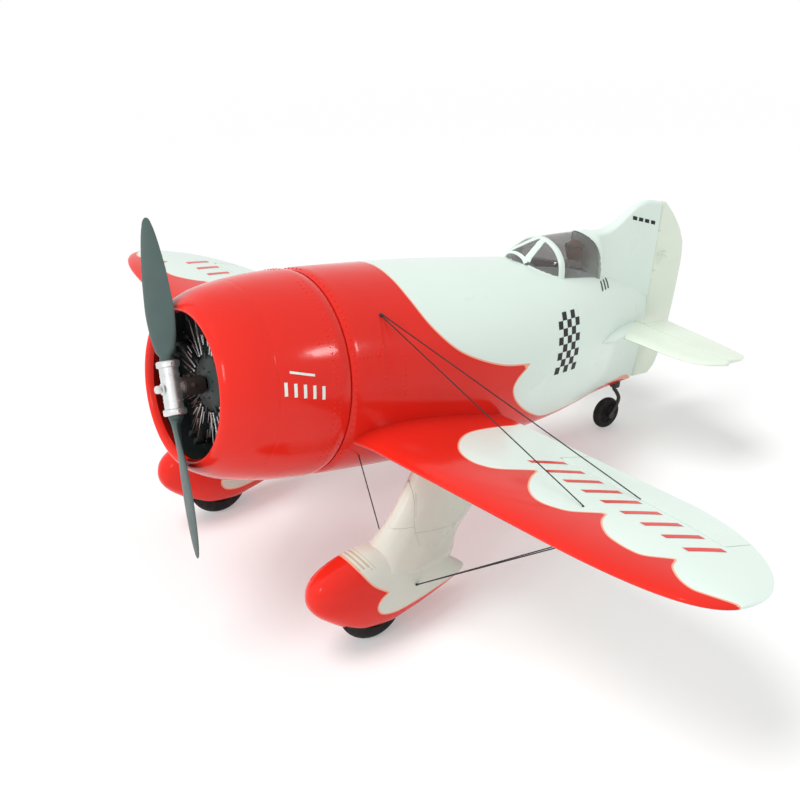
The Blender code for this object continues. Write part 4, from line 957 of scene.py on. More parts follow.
def cowl_profile():
    """Outline of the cowl from inside its lip over the nose and aft, with its groove and rear edge."""
    path = arc_path(list(COWL_OUTLINE) + [(COWL_REAR - 0.0006, COWL_REAR_RADIUS)], [], 0.0012)
    made = list(COWL_LIP_INSIDE)
    for aft, radius in path:
        if abs(aft - COWL_GROOVE) < 0.0006:
            radius -= 0.0003
        made.append((float(aft), float(radius) - seam_sink(float(aft))))
    edge = COWL_EDGE_RADIUS - SEAM_DEPTH
    return made + [(COWL_REAR, edge), (COWL_REAR, edge - COWL_WALL)] + list(COWL_INSIDE)


def make_firewall():
    """Turned plywood disc whose front rim carries the cowl."""
    front, back, rim = FIREWALL_FRONT, FIREWALL_REAR, FIREWALL_RADIUS
    chamfer = 0.0004
    made = Build()
    outline = [
        (back - 0.0060, 0.0),
        (back - 0.0060, rim - 0.0055),
        (front, rim - 0.0033),
        (front, rim - chamfer),
        (front + chamfer, rim),
        (back - chamfer, rim),
        (back, rim - chamfer),
        (back, 0.0),
    ]
    made.lathe(outline, ORIGIN, AFTWARD, 128)
    item = made.done("firewall_disc", PLYWOOD, "airframe", 30)
    dress("firewall")


def make_cowl():
    made = Build()
    made.lathe(cowl_profile(), ORIGIN, AFTWARD, 160, closed=True)
    item = made.done("cowl_shell", RED_PAINT, "airframe", 50)
    dress("engine_cowl")


def make_cowl_rivets():
    """Screws round the cowl's rear rim, and rows of rivets on both of its sides."""
    made = Build()
    screws_at = 0.1105
    for angle in turns(8, 0.5):
        out = Vector((math.cos(angle), 0, math.sin(angle)))
        place = out * (0.0958 - seam_sink(screws_at)) + Vector((0, screws_at, 0))
        made.rivet(place, out, (0.0012, 0.0012, 0.0005), 10, 5)
    rows = [(aft, degrees) for aft in (0.0985, 0.1040) for degrees in np.arange(-34.0, 80.0, 3.2)]
    rows += [(aft, 36.0) for aft in np.arange(0.0880, 0.0970, 0.0045)]
    skin = COWL_OUTLINE + ((COWL_REAR, COWL_REAR_RADIUS),)
    for aft, degrees in rows:
        radius = curve_value(skin, aft) - seam_sink(aft) - 0.0001
        for side in (1, -1):
            out = Vector((side * math.cos(math.radians(degrees)), 0, math.sin(math.radians(degrees))))
            made.rivet(out * radius + Vector((0, aft, 0)), out, (0.0010, 0.0010, 0.0007), 8, 4)
    made.done("cowl_rivets", RED_PAINT, "airframe", 60)


def make_cowl_joggle():
    """Red ring behind the gap between cowl and fuselage."""
    high = COWL_EDGE_RADIUS - SEAM_DEPTH - 0.0004
    low = high - 0.0008
    start, end = COWL_REAR - 0.0015, COWL_REAR + 0.0025
    made = Build()
    made.lathe([(start, high), (end, high), (end, low), (start, low)], ORIGIN, AFTWARD, 160, True)
    made.done("cowl_joggle", RED_PAINT, "airframe")


# ---- Dummy engine ----


def spoke(angle):
    """Directions out from the thrust line and across, at an angle from the top, and a block's turn there."""
    out = Vector((math.sin(angle), 0, math.cos(angle)))
    across = Vector((math.cos(angle), 0, -math.sin(angle)))
    return out, across, Matrix((across, (0, 1, 0), out)).transposed()


def make_crankcase():
    front = ENGINE_FRONT
    case = Build()
    outline = [
        (front + 0.0015, 0.0046),
        (front, 0.0060),
        (front, 0.0125),
        (front + 0.0012, 0.0150),
        (front + 0.0030, 0.0215),
        (front + 0.0050, 0.0252),
        (front + 0.0090, 0.0268),
        (0.0440, 0.0270),
    ]
    case.lathe(outline, ORIGIN, AFTWARD, 72)
    for angle in turns(CYLINDERS, 0.5):
        out, _, turn = spoke(angle)
        case.box(out * 0.0222 + Vector((0, front + 0.0036, 0)), (0.0022, 0.0020, 0.0110), turn, 0.0004)
        case.ball(out * 0.0135 + Vector((0, front - 0.0002, 0)), (0.0011, 0.0007, 0.0011), 8, 5)
    for angle in turns(2 * CYLINDERS, 0.25):
        out = spoke(angle)[0]
        case.ball(out * 0.0245 + Vector((0, front + 0.0045, 0)), (0.0009, 0.0007, 0.0009), 8, 4)
    item = case.done("engine_crankcase", GREEN_DARK, "airframe", 40)
    dress("dummy_engine")


def add_cylinder(build, angle):
    """Barrel with its cooling fins and two rocker boxes."""
    out, across, turn = spoke(angle)
    base = Vector((0, CYLINDER_AT, 0))
    build.lathe([(0.024, 0.0070), (0.056, 0.0070), (0.058, 0.0058), (0.0700, 0.0052)], base, out, 20)
    for step in range(11):
        near = 0.0285 + step * 0.0026
        far = near + 0.0008
        wide = 0.0086 - 0.0005 * max(0, step - 8)
        build.lathe([(near, 0.0068), (near, wide), (far, wide), (far, 0.0068)], base, out, 24)
    for side in (-1, 1):
        rocker = out * 0.0655 + across * side * 0.0052 + Vector((0, CYLINDER_AT - 0.0068, 0))
        build.box(rocker, (0.0046, 0.0090, 0.0060), turn, 0.0012)


def add_pushrods(build, angle):
    out, across = spoke(angle)[:2]
    for side in (-1, 1):
        near = out * 0.0270 + across * side * 0.0022 + Vector((0, ENGINE_FRONT + 0.0040, 0))
        far = out * 0.0665 + across * side * 0.0062 + Vector((0, ENGINE_FRONT + 0.0052, 0))
        build.tube([near, (near + far) / 2, far], [0.00075, 0.0006, 0.0006], 8)
        build.ball(near, (0.0012, 0.0012, 0.0012), 8, 5)


def add_fin_edge_highlights(build, angle):
    """Silver lines on the fin edges beside a cylinder, the engine's dry-brushed silver together with painted
    highlights on its fins, and the lines of its leads.
    """
    out, across = spoke(angle)[:2]
    # Painted highlights: short silver strokes just outside the fin edges, where the fins catch the light.
    for step in range(7):
        reach = 0.0305 + step * 0.0050
        lean = (step - 3) * 0.0004
        for side in (-1, 1):
            start = out * reach + across * (side * 0.0100 + lean) + Vector((0, CYLINDER_AT - 0.0015, 0))
            build.tube([start, start + out * 0.0034 + across * side * 0.0006], 0.00036, 6)
    for side, begin, end in ((-1, 0.031, 0.052), (1, 0.040, 0.066), (0, 0.033, 0.049)):
        depth = CYLINDER_AT - 0.0078 + abs(side) * 0.004
        near = out * begin + across * (side * 0.0128) + Vector((0, depth, 0))
        far = out * end + across * (side * 0.0150 + 0.0008) + Vector((0, depth - 0.0004, 0))
        build.tube([near, far], 0.00042, 6)


def add_painted_glints(build, count=64):
    """Painted glints: bright streaks between the cylinders, spread at random, for the light caught on fins
    and rods.
    """
    for k in range(count):
        angle = math.tau * (k + random.uniform(-0.35, 0.35)) / count
        lean = angle + random.uniform(-0.10, 0.10)
        begin = random.uniform(0.0275, 0.0440)
        reach = random.uniform(0.0050, 0.0150)
        depth = ENGINE_FRONT + random.uniform(0.0030, 0.0085)
        start = Vector((math.sin(angle) * begin, depth, math.cos(angle) * begin))
        end = start + Vector((math.sin(lean), random.uniform(-0.10, 0.10), math.cos(lean))) * reach
        build.tube([start, end], [0.00050, 0.00034], 6)


def make_cylinders():
    cylinders, rods, lines = Build(), Build(), Build()
    for angle in turns(CYLINDERS):
        add_cylinder(cylinders, angle)
        add_pushrods(rods, angle)
        add_fin_edge_highlights(lines, angle)
    add_painted_glints(lines)
    cylinders.done("engine_cylinders", ENGINE_BLACK, "airframe", 35)
    rods.done("engine_pushrods", FIN_SILVER, "airframe", 50)
    # The silver lines are the leads together with painted highlights and glints on the fins.
    lines.done("engine_silver_lines", FIN_SILVER, "airframe", 50)


def make_baffle_and_shade_lining():
    """Dark disc behind the cylinders, and a dark lining of the cowl ahead of it: painted shade that blacks
    out the cowl's red inside where it lies in shadow.
    """
    made = Build()
    front, back, bore, rim = 0.0445, 0.0458, 0.0046, 0.0845
    made.lathe([(front, bore), (front, rim), (back, rim), (back, bore)], ORIGIN, AFTWARD, 96, True)
    # Painted shade: a black sheet over the cowl's red inner wall, which is only in shadow.
    outside = [(0.0150, 0.0718), (0.0300, 0.0806), (0.0445, 0.0846)]
    inside = [(0.0445, 0.0838), (0.0300, 0.0798), (0.0150, 0.0708)]
    made.lathe(outside + inside, ORIGIN, AFTWARD, 96, True)
    made.done("engine_baffle", ENGINE_BLACK, "airframe")


# ---- Propeller ----


def turned_with_propeller(build):
    """Turns a shape about the thrust line to where the propeller stands, and sets it at the hub."""
    spin = Matrix.Rotation(PROP_TURN, 3, "Y")
    build.points = [spin @ p + Vector((0, PROP_AT, 0)) for p in build.points]
    return build


def blade_section(at, side, count=28):
    chord = curve_value(PROP_STATIONS, at, 1)
    thick = curve_value(PROP_STATIONS, at, 2)
    lean = math.radians(curve_value(PROP_STATIONS, at, 3))
    ring = []
    for angle in turns(count):
        along = math.cos(angle) * chord / 2
        forward = math.sin(angle) * thick * (0.65 if math.sin(angle) > 0 else 0.35)
        x = side * (forward * math.sin(lean) - along * math.cos(lean))
        y = -forward * math.cos(lean) - along * math.sin(lean)
        ring.append(Vector((x, y, side * at * PROP_RADIUS)))
    return ring


def make_blades():
    """Two blades, each with a round shank, a twisted span and a rounded tip."""
    tip_at = 0.955
    for side, name in ((1, "propeller_blade_upper"), (-1, "propeller_blade_lower")):
        lean = math.radians(PROP_STATIONS[0][3])
        rings = []
        for height, radius in ((0.0243, 0.0066), (0.0262, 0.0066), (0.0275, 0.0060)):
            ring = []
            for angle in turns(28):
                a = angle + lean
                ring.append(Vector((-side * radius * math.cos(a), -radius * math.sin(a), side * height)))
            rings.append(ring)
        rings += [blade_section(at, side) for at in np.linspace(0.215, tip_at, 42)]
        last = rings[-1]
        centre = sum(last, Vector()) / len(last)
        for out, shrink in ((0.968, 0.90), (0.979, 0.76), (0.988, 0.56), (0.994, 0.33), (0.997, 0.08)):
            shift = Vector((0, 0, side * (out - tip_at) * PROP_RADIUS))
            rings.append([centre + (p - centre) * shrink + shift for p in last])
        made = Build()
        made.rings(rings)
        item = turned_with_propeller(made).done(name + "_moulding", GREEN_PLASTIC, "propeller", 50)
        dress(name)


def make_propeller_hub():
    """Two clamp collars on a barrel, with their clamp screws and the bore for the shaft."""
    hub = Build()
    collar = [
        (0.0178, 0.0085),
        (0.0184, 0.0098),
        (0.0190, 0.0104),
        (0.0226, 0.0104),
        (0.0234, 0.0100),
        (0.0240, 0.0090),
        (0.0240, 0.0068),
        (0.0225, 0.0064),
    ]
    barrel = [(-along, radius) for along, radius in reversed(collar)] + collar
    hub.lathe(barrel, ORIGIN, UPWARD, 48)
    for height in (-0.0112, 0.0112):
        band = [(-0.0008, 0.0084), (-0.0005, 0.0088), (0.0005, 0.0088), (0.0008, 0.0084)]
        hub.lathe([(height + along, radius) for along, radius in band], ORIGIN, UPWARD, 40)
    screw = [(0.0096, 0.0014), (0.0116, 0.0014), (0.0120, 0.0009), (0.0120, 0.0)]
    for side in (-1, 1):
        for level in (-0.0208, 0.0208):
            hub.lathe(screw, (0, 0, level), (side, -0.25, 0), 12)
    hub.lathe([(0.0, 0.0062), (0.0120, 0.0062)], ORIGIN, AFTWARD, 32)
    item = turned_with_propeller(hub).done("propeller_hub_casting", ALLOY, "propeller", 40)
    dress("propeller_hub")


def make_propeller_bolt():
    bolt = Build()
    outline = [
        (0.0080, 0.0),
        (0.0080, 0.0050),
        (0.0092, 0.0052),
        (0.0096, 0.0036),
        (0.0106, 0.0036),
        (0.0140, 0.0036),
        (0.0152, 0.0030),
        (0.0157, 0.0018),
        (0.0152, 0.0016),
        (0.0146, 0.0),
    ]
    bolt.lathe(outline, ORIGIN, FORWARD, 24)
    item = turned_with_propeller(bolt).done("propeller_bolt", ALLOY, "propeller", 40)
    dress("propeller_nut")


def make_shaft_housing():
    """Drum behind the hub, with four plugs round it."""
    housing = Build()
    outline = [
        (0.0098, 0.0),
        (0.0098, 0.0078),
        (0.0105, 0.0086),
        (0.0290, 0.0086),
        (0.0300, 0.0079),
        (0.0300, 0.0),
    ]
    housing.lathe(outline, ORIGIN, AFTWARD, 36)
    for angle in (0.35, -0.35, math.pi / 2, -math.pi / 2):
        out = spoke(angle)[0]
        plug = out * 0.0088 + Vector((0, 0.0170, 0))
        housing.lathe([(0.0, 0.0022), (0.0018, 0.0020), (0.0024, 0.0)], plug, out, 14)
    item = turned_with_propeller(housing).done("shaft_housing", HOUSING, "propeller", 40)


make_fuselage()
make_hatch()
make_rivets()
make_firewall()
make_cowl()
make_cowl_rivets()
make_cowl_joggle()
make_crankcase()
make_cylinders()
make_baffle_and_shade_lining()
make_blades()
make_propeller_hub()
make_propeller_bolt()
make_shaft_housing()

# ---- Wings ----


def wing_edges(span):
    lead = 0.1266 + 0.045 * span
    trail = 0.3026 + 0.017 * span
    start = WING_HALF_SPAN - WING_ROUND
    if span <= start:
        return lead, trail
    share = min((span - start) / WING_ROUND, 1.0)
    narrow = max(1 - share * share, 0.0) ** 0.45
    centre = (lead + trail) / 2 - 0.0235 * share * share
    half = (trail - lead) / 2 * narrow
    return centre - half, centre + half


def wing_height(span, aft):
    return -0.0400 + 0.0423 * span - 0.0066 * (aft - 0.150)


def wing_point(span, share, side, proud=0.0):
    """Point of the wing's upper (side 1) or lower (side -1) skin at a share of its chord."""
    lead, trail = wing_edges(span)
    reach = max(0.0, 1 - (span - WING_ROOT) / FILLET_REACH)
    share = min(max(share, 0.0), 1.0)
    half = 5 * (0.2969 * math.sqrt(share) - 0.1260 * share - 0.3516 * share ** 2 + 0.2843 * share ** 3
                - 0.1036 * share ** 4)
    half = half * WING_THICK * (trail - lead) + FILLET_THICK * reach ** 2 * math.sin(math.pi * share) ** 0.5
    aft = lead - FILLET_THICK * reach ** 2 * (1 - share) + (trail - lead) * share
    rise = half * 1.15 + 0.0002 + proud if side > 0 else -half * 0.85 - 0.0002 - proud
    return Vector((span, aft, wing_height(span, lead + (trail - lead) * share) + rise))


def hinge_share(span):
    """Share of the chord at which the aileron's hinge line lies."""
    inner = wing_edges(AILERON_INNER)[1] - AILERON_CHORD
    outer = wing_edges(AILERON_OUTER)[1] - AILERON_CHORD * 0.85
    aft = inner + (outer - inner) * (span - AILERON_INNER) / (AILERON_OUTER - AILERON_INNER)
    lead, trail = wing_edges(span)
    return min(max((aft - lead) / (trail - lead), 0.45), 0.93)


# Edge between red and white on the left wing in plan, millimetres, with its cusps.
WING_EDGE = np.array(
    [
        (84, 345), (114, 300), (121, 270), (130, 230), (141, 208), (156, 191), (172, 180), (190, 175.5),
        (205, 178), (218, 188), (231, 217), (243, 198.5), (257.5, 183), (272, 174), (286, 171.5), (300, 175),
        (312, 182.5), (326, 205.5), (332.5, 193.5), (342, 184), (355, 176.5), (368, 174), (382, 174),
        (394.5, 178), (409, 195.5), (415, 184.5), (424, 178), (434, 174.3), (445, 174), (455, 178.5),
        (464.5, 184.5), (474, 192),
    ]
) / 1000
WING_CUSPS = [10, 17, 24]


def paint_wing(item):
    places = local_points(item)
    flat = np.stack([np.abs(places[:, 0]), places[:, 1]], 1)
    path = arc_path(WING_EDGE, WING_CUSPS, 0.0015)
    closing = [(0.60, 0.20), (0.60, 0.0), (0.0, 0.0), (0.0, 0.36)]
    set_field(item, "paint", side_of(flat, path, closing))


def wing_spans():
    start = WING_HALF_SPAN - WING_ROUND
    marks = [WING_ROOT, WING_ROOT + FILLET_REACH, AILERON_INNER, start]
    near = refined(marks, 0.0026)
    tip = [start + WING_ROUND * math.sin(math.radians(a)) for a in np.linspace(0, 89.4, 70)][1:]
    tip = [s for s in tip if abs(s - AILERON_OUTER) > 0.0008] + [AILERON_OUTER]
    return near + sorted(tip)


CHORD_FORE = 46
CHORD_REAR = 14


def rear_column(span, next_span):
    """Column of points where the skin ends between two rows: the hinge line, or the trailing edge."""
    beside_aileron = AILERON_INNER - 1e-6 < (span + next_span) / 2 < AILERON_OUTER
    return CHORD_FORE if beside_aileron else CHORD_FORE + CHORD_REAR


def chord_shares(hinge):
    """Shares of the chord of a row of points, close together at the leading edge."""
    front = [hinge * (1 - math.cos(math.pi / 2 * k / CHORD_FORE)) for k in range(CHORD_FORE)]
    return front + [hinge + (1 - hinge) * k / CHORD_REAR for k in range(CHORD_REAR + 1)]


def make_wing(side):
    """Closed skin of one wing half, open behind the hinge line where the aileron goes."""
    spans = wing_spans()
    upper = []
    lower = []
    for span in spans:
        shares = chord_shares(hinge_share(span))
        upper.append([wing_point(span, s, 1) for s in shares])
        lower.append([wing_point(span, s, -1) for s in shares])
    made = Build()
    count = len(upper[0])
    for skin, order in ((upper, 1), (lower, -1)):
        faces = []
        for k in range(len(spans) - 1):
            for i in range(rear_column(spans[k], spans[k + 1])):
                face = (k * count + i, k * count + i + 1, (k + 1) * count + i + 1, (k + 1) * count + i)
                faces.append(face[::order])
        made.take([p for row in skin for p in row], faces)
    total = len(spans) * count
    for k, span in enumerate(spans[:-1]):
        edge = rear_column(span, spans[k + 1])
        a, b = k * count + edge, (k + 1) * count + edge
        made.faces.append((a, b, b + total, a + total))
        made.faces.append((k * count, (k + 1) * count, (k + 1) * count + total, k * count + total))
    for span in (AILERON_INNER, AILERON_OUTER):
        k = min(range(len(spans)), key=lambda n: abs(spans[n] - span))
        run = [k * count + i for i in range(CHORD_FORE, count)]
        made.faces.append(tuple(run + [i + total for i in reversed(run)]))
    last = (len(spans) - 1) * count
    tip = [last + i for i in range(count)]
    made.faces.append(tuple(tip + [i + total for i in reversed(tip[1:])]))
    name = side_name(side)
    item = made.on_side(side).done(name + "_wing_skin", TWO_TONE, "airframe", 40)
    paint_wing(item)
    dress(name + "_wing")


def make_aileron(side):
    """Aileron whose front is a wedge about its hinge, so that it clears the wing as it tilts."""
    slope = math.tan(math.radians(AILERON_RANGE + 4))
    length = AILERON_OUTER - AILERON_INNER - 2 * SURFACE_GAP
    places = [AILERON_INNER + SURFACE_GAP + length * k / 60 for k in range(61)]
    rings = []
    for span in places:
        lead, trail = wing_edges(span)
        share = hinge_share(span)
        hinge = lead + (trail - lead) * share
        middle = Vector((span, hinge + 0.0004, wing_height(span, hinge)))
        thick = wing_point(span, share, 1).z - middle.z
        begin = (hinge + slope * thick + 0.0004 - lead) / (trail - lead)
        thick_low = middle.z - wing_point(span, share, -1).z
        begin_low = (hinge + slope * thick_low + 0.0004 - lead) / (trail - lead)
        steps = [k / CHORD_REAR for k in range(CHORD_REAR + 1)]
        top = [wing_point(span, begin + (1 - begin) * t, 1) for t in steps]
        low = [wing_point(span, begin_low + (1 - begin_low) * t, -1) for t in steps]
        rings.append([middle] + top + low[::-1])
    made = Build()
    made.rings(rings)
    name = side_name(side)
    item = made.on_side(side).done(name + "_aileron_skin", TWO_TONE, name + "_aileron", 40)
    paint_wing(item)
    dress(name + "_aileron")


# ---- Tail ----


def tailplane_half(span):
    """Half thickness of the tailplane, which thins towards its tips."""
    return STAB_THICK / 2 * (1 - 0.45 * span / STAB_HALF_SPAN)


def make_stabilizer():
    spans = [STAB_HALF_SPAN * math.sin(math.pi / 2 * k / 44) for k in range(45)]
    spans = [-s for s in reversed(spans[1:])] + spans
    rings = []
    rear = ELEVATOR_HINGE - SURFACE_GAP
    for span in spans:
        side = abs(span)
        lead = min(curve_value(STAB_LEADING, side), rear - 0.004)
        half = tailplane_half(side)
        upper = []
        for k in range(14):
            t = k / 13
            aft = lead + (rear - lead) * (1 - math.cos(math.pi / 2 * t)) if k < 13 else rear
            high = half * min(1.0, (max(0.0, aft - lead) / 0.011) ** 0.5) * (1 if k < 13 else 0.96)
            upper.append((aft, high))
        ring = [(span, aft, STAB_HEIGHT + high) for aft, high in upper]
        rings.append(ring + [(span, aft, STAB_HEIGHT - high) for aft, high in reversed(upper)])
    made = Build()
    made.rings(rings)
    item = made.done("stabilizer_skin", TAIL_PAINT, "airframe", 40)
    dress("stabilizer")


def make_elevator(side):
    """Elevator half with a wedge at its hinge and a raised rib at every sixth row."""
    inner = STAB_TRAILING[0][0]
    outer = STAB_TRAILING[-2][0] - SURFACE_GAP
    rings = []
    for k in range(49):
        span = inner + (outer - inner) * math.sin(math.pi / 2 * k / 48)
        trail = curve_value(STAB_TRAILING, span)
        half = tailplane_half(span) * 0.96
        if k % 6 == 3:
            half *= 1.06
        front = ELEVATOR_HINGE + half * math.tan(math.radians(29))
        chord = []
        for t in np.linspace(0, 1, 9):
            chord.append((front + (trail - front) * t, half * (1 - t) ** 0.9 + 0.0006 * t))
        ring = [(span, ELEVATOR_HINGE, STAB_HEIGHT)]
        ring += [(span, aft, STAB_HEIGHT + high) for aft, high in chord]
        ring += [(span, aft, STAB_HEIGHT - high) for aft, high in reversed(chord)]
        rings.append(ring)
    made = Build()
    made.rings(rings)
    name = side_name(side)
    item = made.on_side(side).done(name + "_elevator_skin", TAIL_PAINT, "elevator", 30)
    dress(name + "_elevator")


def make_root_fairing():
    """Saddle that carries the tailplane's root forward into the body sides."""
    made = Build()
    rows = []
    for aft in np.linspace(ROOT_FAIRING[0][0], min(ROOT_FAIRING[-1][0], ELEVATOR_HINGE - 0.003), 40):
        out = curve_value(ROOT_FAIRING, aft, 1)
        high = curve_value(ROOT_FAIRING, aft, 2)
        rise = min(0.98, STAB_HEIGHT / body_top(aft))
        reach = body_width(aft) * math.sqrt(1 - rise * rise) + out
        middle = STAB_HEIGHT + 0.0015
        rows.append([(reach * math.cos(a), aft, middle + high * math.sin(a)) for a in turns(48)])
    made.rings(rows)
    made.done("stabilizer_root_fairing", WHITE_PAINT, "airframe", 60)


def fin_ring(aft, count=12):
    start, end = FIN_TOP[0][0], FIN_TOP[-1][0]
    share = (aft - start) / (end - start)
    fade = (1 - share) ** 2.2
    roof = curve_value(FIN_TOP, aft)
    deck = body_top(aft)
    blade = FIN_THICK / 2
    sill, shoulder = CANOPY_SECTIONS[-1][1], CANOPY_SECTIONS[-1][3]
    root = max(blade, sill * fade + blade * (1 - fade) * 1.3)
    upper = max(blade, shoulder * fade + blade * (1 - fade))
    marks = [
        (0.0, root * 1.08),
        (0.25, root * 0.98),
        (0.55, root * 0.55 + upper * 0.45),
        (0.82, upper * 0.97),
        (1.0, upper * 0.86),
    ]
    low = deck * 0.80
    half = []
    shoulder_at = roof - min(0.0045, (roof - low) * 0.3)
    for k in range(count):
        t = k / (count - 1)
        half.append((curve_value(marks, t), low + (shoulder_at - low) * t))
    for angle in (18, 36, 54, 72, 84):
        a = math.radians(angle)
        half.append((marks[-1][1] * math.cos(a), shoulder_at + (roof - shoulder_at) * math.sin(a)))
    return [(w, aft, z) for w, z in half] + [(-w, aft, z) for w, z in reversed(half)]


def make_fin():
    start, end = FIN_TOP[0][0], FIN_TOP[-1][0]
    made = Build()
    made.rings([fin_ring(aft) for aft in np.linspace(start, end, 64)])
    item = made.done("fin_skin", WHITE_PAINT, "airframe", 40)
    dress("tail_fin")


def make_rudder():
    """Rudder with a round nose at its hinge and fine ribs across its sides."""
    low, high = RUDDER_TRAILING[0][0], RUDDER_TRAILING[-1][0]
    nose_angles = [math.radians(d) for d in (-90, -66, -42, -18, 18, 42, 66, 90)]
    rings = []
    for z in np.linspace(low, high, 202):
        trail = max(curve_value(RUDDER_TRAILING, z), RUDDER_HINGE + RUDDER_NOSE)
        rib = 0.00022 * max(0.0, math.cos(math.tau * (z - low) / 0.0062)) ** 3
        nose = [(RUDDER_NOSE * math.sin(a), RUDDER_HINGE - RUDDER_NOSE * math.cos(a)) for a in nose_angles]
        side = []
        for t in np.linspace(0.04, 0.98, 14):
            half = RUDDER_NOSE * (1 - t) ** 0.85 + 0.0006 * t
            half += rib * max(0.0, 1 - t * 1.5)
            side.append((half, RUDDER_HINGE + (trail - RUDDER_HINGE) * t))
        ring = [(x, aft, z) for x, aft in nose] + [(half, aft, z) for half, aft in side]
        ring += [(0.0003, trail, z), (-0.0003, trail, z)] + [(-half, aft, z) for half, aft in reversed(side)]
        rings.append(ring)
    made = Build()
    made.rings(rings)
    item = made.done("rudder_skin", TAIL_PAINT, "rudder", 40)
    dress("rudder")


def make_rudder_hinges():
    made = Build()
    for z in (0.105, 0.060, -0.020):
        for x in (-0.0037, 0.0037):
            made.box((x, RUDDER_HINGE - 0.0005, z), (0.0012, 0.0070, 0.0100), None, 0.0004)
    made.done("rudder_hinges", TAIL_PAINT, "airframe", 40)


def make_rudder_horn():
    """Small horn on the rudder's left side, on a base plate."""
    level = 0.0820
    plan = [(0.0, 0.0), (0.0, 0.0090), (0.0105, 0.0062), (0.0125, 0.0040), (0.0115, 0.0020)]
    made = Build()
    rings = []
    for z in (level - 0.0006, level + 0.0006):
        rings.append([(0.0030 + out, RUDDER_HINGE + 0.0045 + along, z) for out, along in plan])
    made.rings(rings)
    made.box((0.0036, RUDDER_HINGE + 0.0090, level), (0.0012, 0.0120, 0.0080), None, 0.0004)
    made.done("rudder_horn", TAIL_PAINT, "rudder", 40)


def make_tail_fork():
    """Bent wire down from the belly to the left side of the tail wheel, with its axle."""
    side = TAIL_WHEEL_WIDTH / 2 + 0.0035
    belly = body_bottom(TAIL_POST_AT)
    low = belly - 0.0060
    route = [
        Vector((0, TAIL_POST_AT, belly + 0.004)),
        Vector((0, TAIL_POST_AT, low)),
        Vector((side * 0.35, TAIL_POST_AT + 0.002, low - 0.004)),
        Vector((side, TAIL_POST_AT + 0.002, low - 0.010)),
        Vector((side, TAIL_POST_AT - 0.001, (low + TAIL_WHEEL_HEIGHT) / 2 - 0.006)),
        Vector((side, TAIL_WHEEL_AT, TAIL_WHEEL_HEIGHT + 0.001)),
    ]
    smooth = [Vector(p) for p in arc_path(route, [], 0.001)]
    end = (side, TAIL_WHEEL_AT, TAIL_WHEEL_HEIGHT)
    reach = side + TAIL_WHEEL_WIDTH
    fork = Build()
    fork.tube(smooth, [0.0024] * 4 + [0.0022] * (len(smooth) - 4), 14)
    fork.lathe([(-0.0022, 0.0), (-0.0022, 0.0042), (0.0022, 0.0042), (0.0022, 0.0)], end, LEFTWARD, 20)
    fork.lathe([(0.0, 0.0), (0.0, 0.0012), (reach, 0.0012), (reach, 0.0)], end, (-1, 0, 0), 12)
    item = fork.done("tail_fork_moulding", BLACK_PLASTIC, "tail_fork", 45)
    dress("tail_wheel_fork")


def make_tail_bush():
    bush = Build()
    outline = [(-0.0045, 0.0018), (-0.0045, 0.0052), (-0.0030, 0.0060), (0.0020, 0.0060), (0.0035, 0.0050)]
    bush.lathe(outline, (0, TAIL_POST_AT, body_bottom(TAIL_POST_AT)), UPWARD, 24)
    item = bush.done("tail_wheel_bush", BLACK_PLASTIC, "airframe", 45)
    dress("tail_wheel_bracket")


def make_tail_wheel():
    """Tyre and disc in one, with six spokes raised on the disc."""
    half, rim = TAIL_WHEEL_WIDTH / 2, TAIL_WHEEL_RADIUS
    centre = Vector((0, TAIL_WHEEL_AT, TAIL_WHEEL_HEIGHT))
    tread = [(half * math.sin(a), rim * 0.80 + rim * 0.20 * math.cos(a)) for a in np.linspace(-1.4, 1.4, 15)]
    disc = [
        (half * 0.55, 0.0014),
        (half * 0.62, 0.0040),
        (half * 0.40, 0.0055),
        (half * 0.40, rim * 0.58),
        (half * 0.80, rim * 0.64),
    ]
    wheel = Build()
    wheel.lathe([(-along, radius) for along, radius in disc] + tread + disc[::-1], centre, LEFTWARD, 48)
    for angle in turns(6):
        out = Vector((0, math.cos(angle), math.sin(angle)))
        lean = Matrix.Rotation(angle - math.pi / 2, 3, "X")
        wheel.box(centre + out * 0.0078, (half * 1.15, 0.0014, 0.0060), lean, 0.0003)
    item = wheel.done("tail_wheel_tyre", RUBBER, "tail_roller", 40)
    dress("tail_wheel")


for SIDE in (1, -1):
    make_wing(SIDE)
    make_aileron(SIDE)
make_stabilizer()
for SIDE in (1, -1):
    make_elevator(SIDE)
make_root_fairing()
make_fin()
make_rudder()
make_rudder_hinges()
make_rudder_horn()
make_tail_fork()
make_tail_bush()
make_tail_wheel()

# ---- Main gear ----


def pant_row(aft):
    return [curve_value(PANT_STATIONS, aft, column) for column in (1, 2, 3)]


def pant_solid():
    """Closed shape of the left pant, with a belly round the wheel well."""
    start, end = PANT_STATIONS[0][0], PANT_STATIONS[-1][0]
    made = Build()
    rows = []
    for t in np.linspace(0, 1, 70):
        aft = start + (end - start) * (t - 0.06 * math.sin(math.tau * t))
        share, top, bottom = pant_row(aft)
        bottom -= PANT_BELLY * math.exp(-((aft - 0.118) / 0.036) ** 2)
        middle, half, width = (top + bottom) / 2, (top - bottom) / 2, PANT_HALF_WIDTH * share
        ring = []
        for a in turns(64):
            x = width * math.copysign(abs(math.cos(a)) ** 0.85, math.cos(a))
            z = half * math.copysign(abs(math.sin(a)) ** 0.95, math.sin(a))
            ring.append((WHEEL_SPREAD + x, aft, middle + z))
        rows.append(ring)
    made.rings(rows)
    return made


# Edge between red and white on the pant's side, millimetres: distance aft and height.
PANT_EDGE = np.array(
    [
        (71, -103), (89, -118), (96, -126), (109, -140), (126, -150), (119, -154), (116, -160), (117, -166),
        (124, -172), (137, -173.5), (157, -169.5), (188, -162), (215, -159), (235, -158),
    ]
) / 1000
PANT_CUSP = 4
STRIPES_ABOVE = -0.127


def wheel_centre(side):
    return Vector((side * WHEEL_SPREAD, WHEEL_AT, WHEEL_HEIGHT))


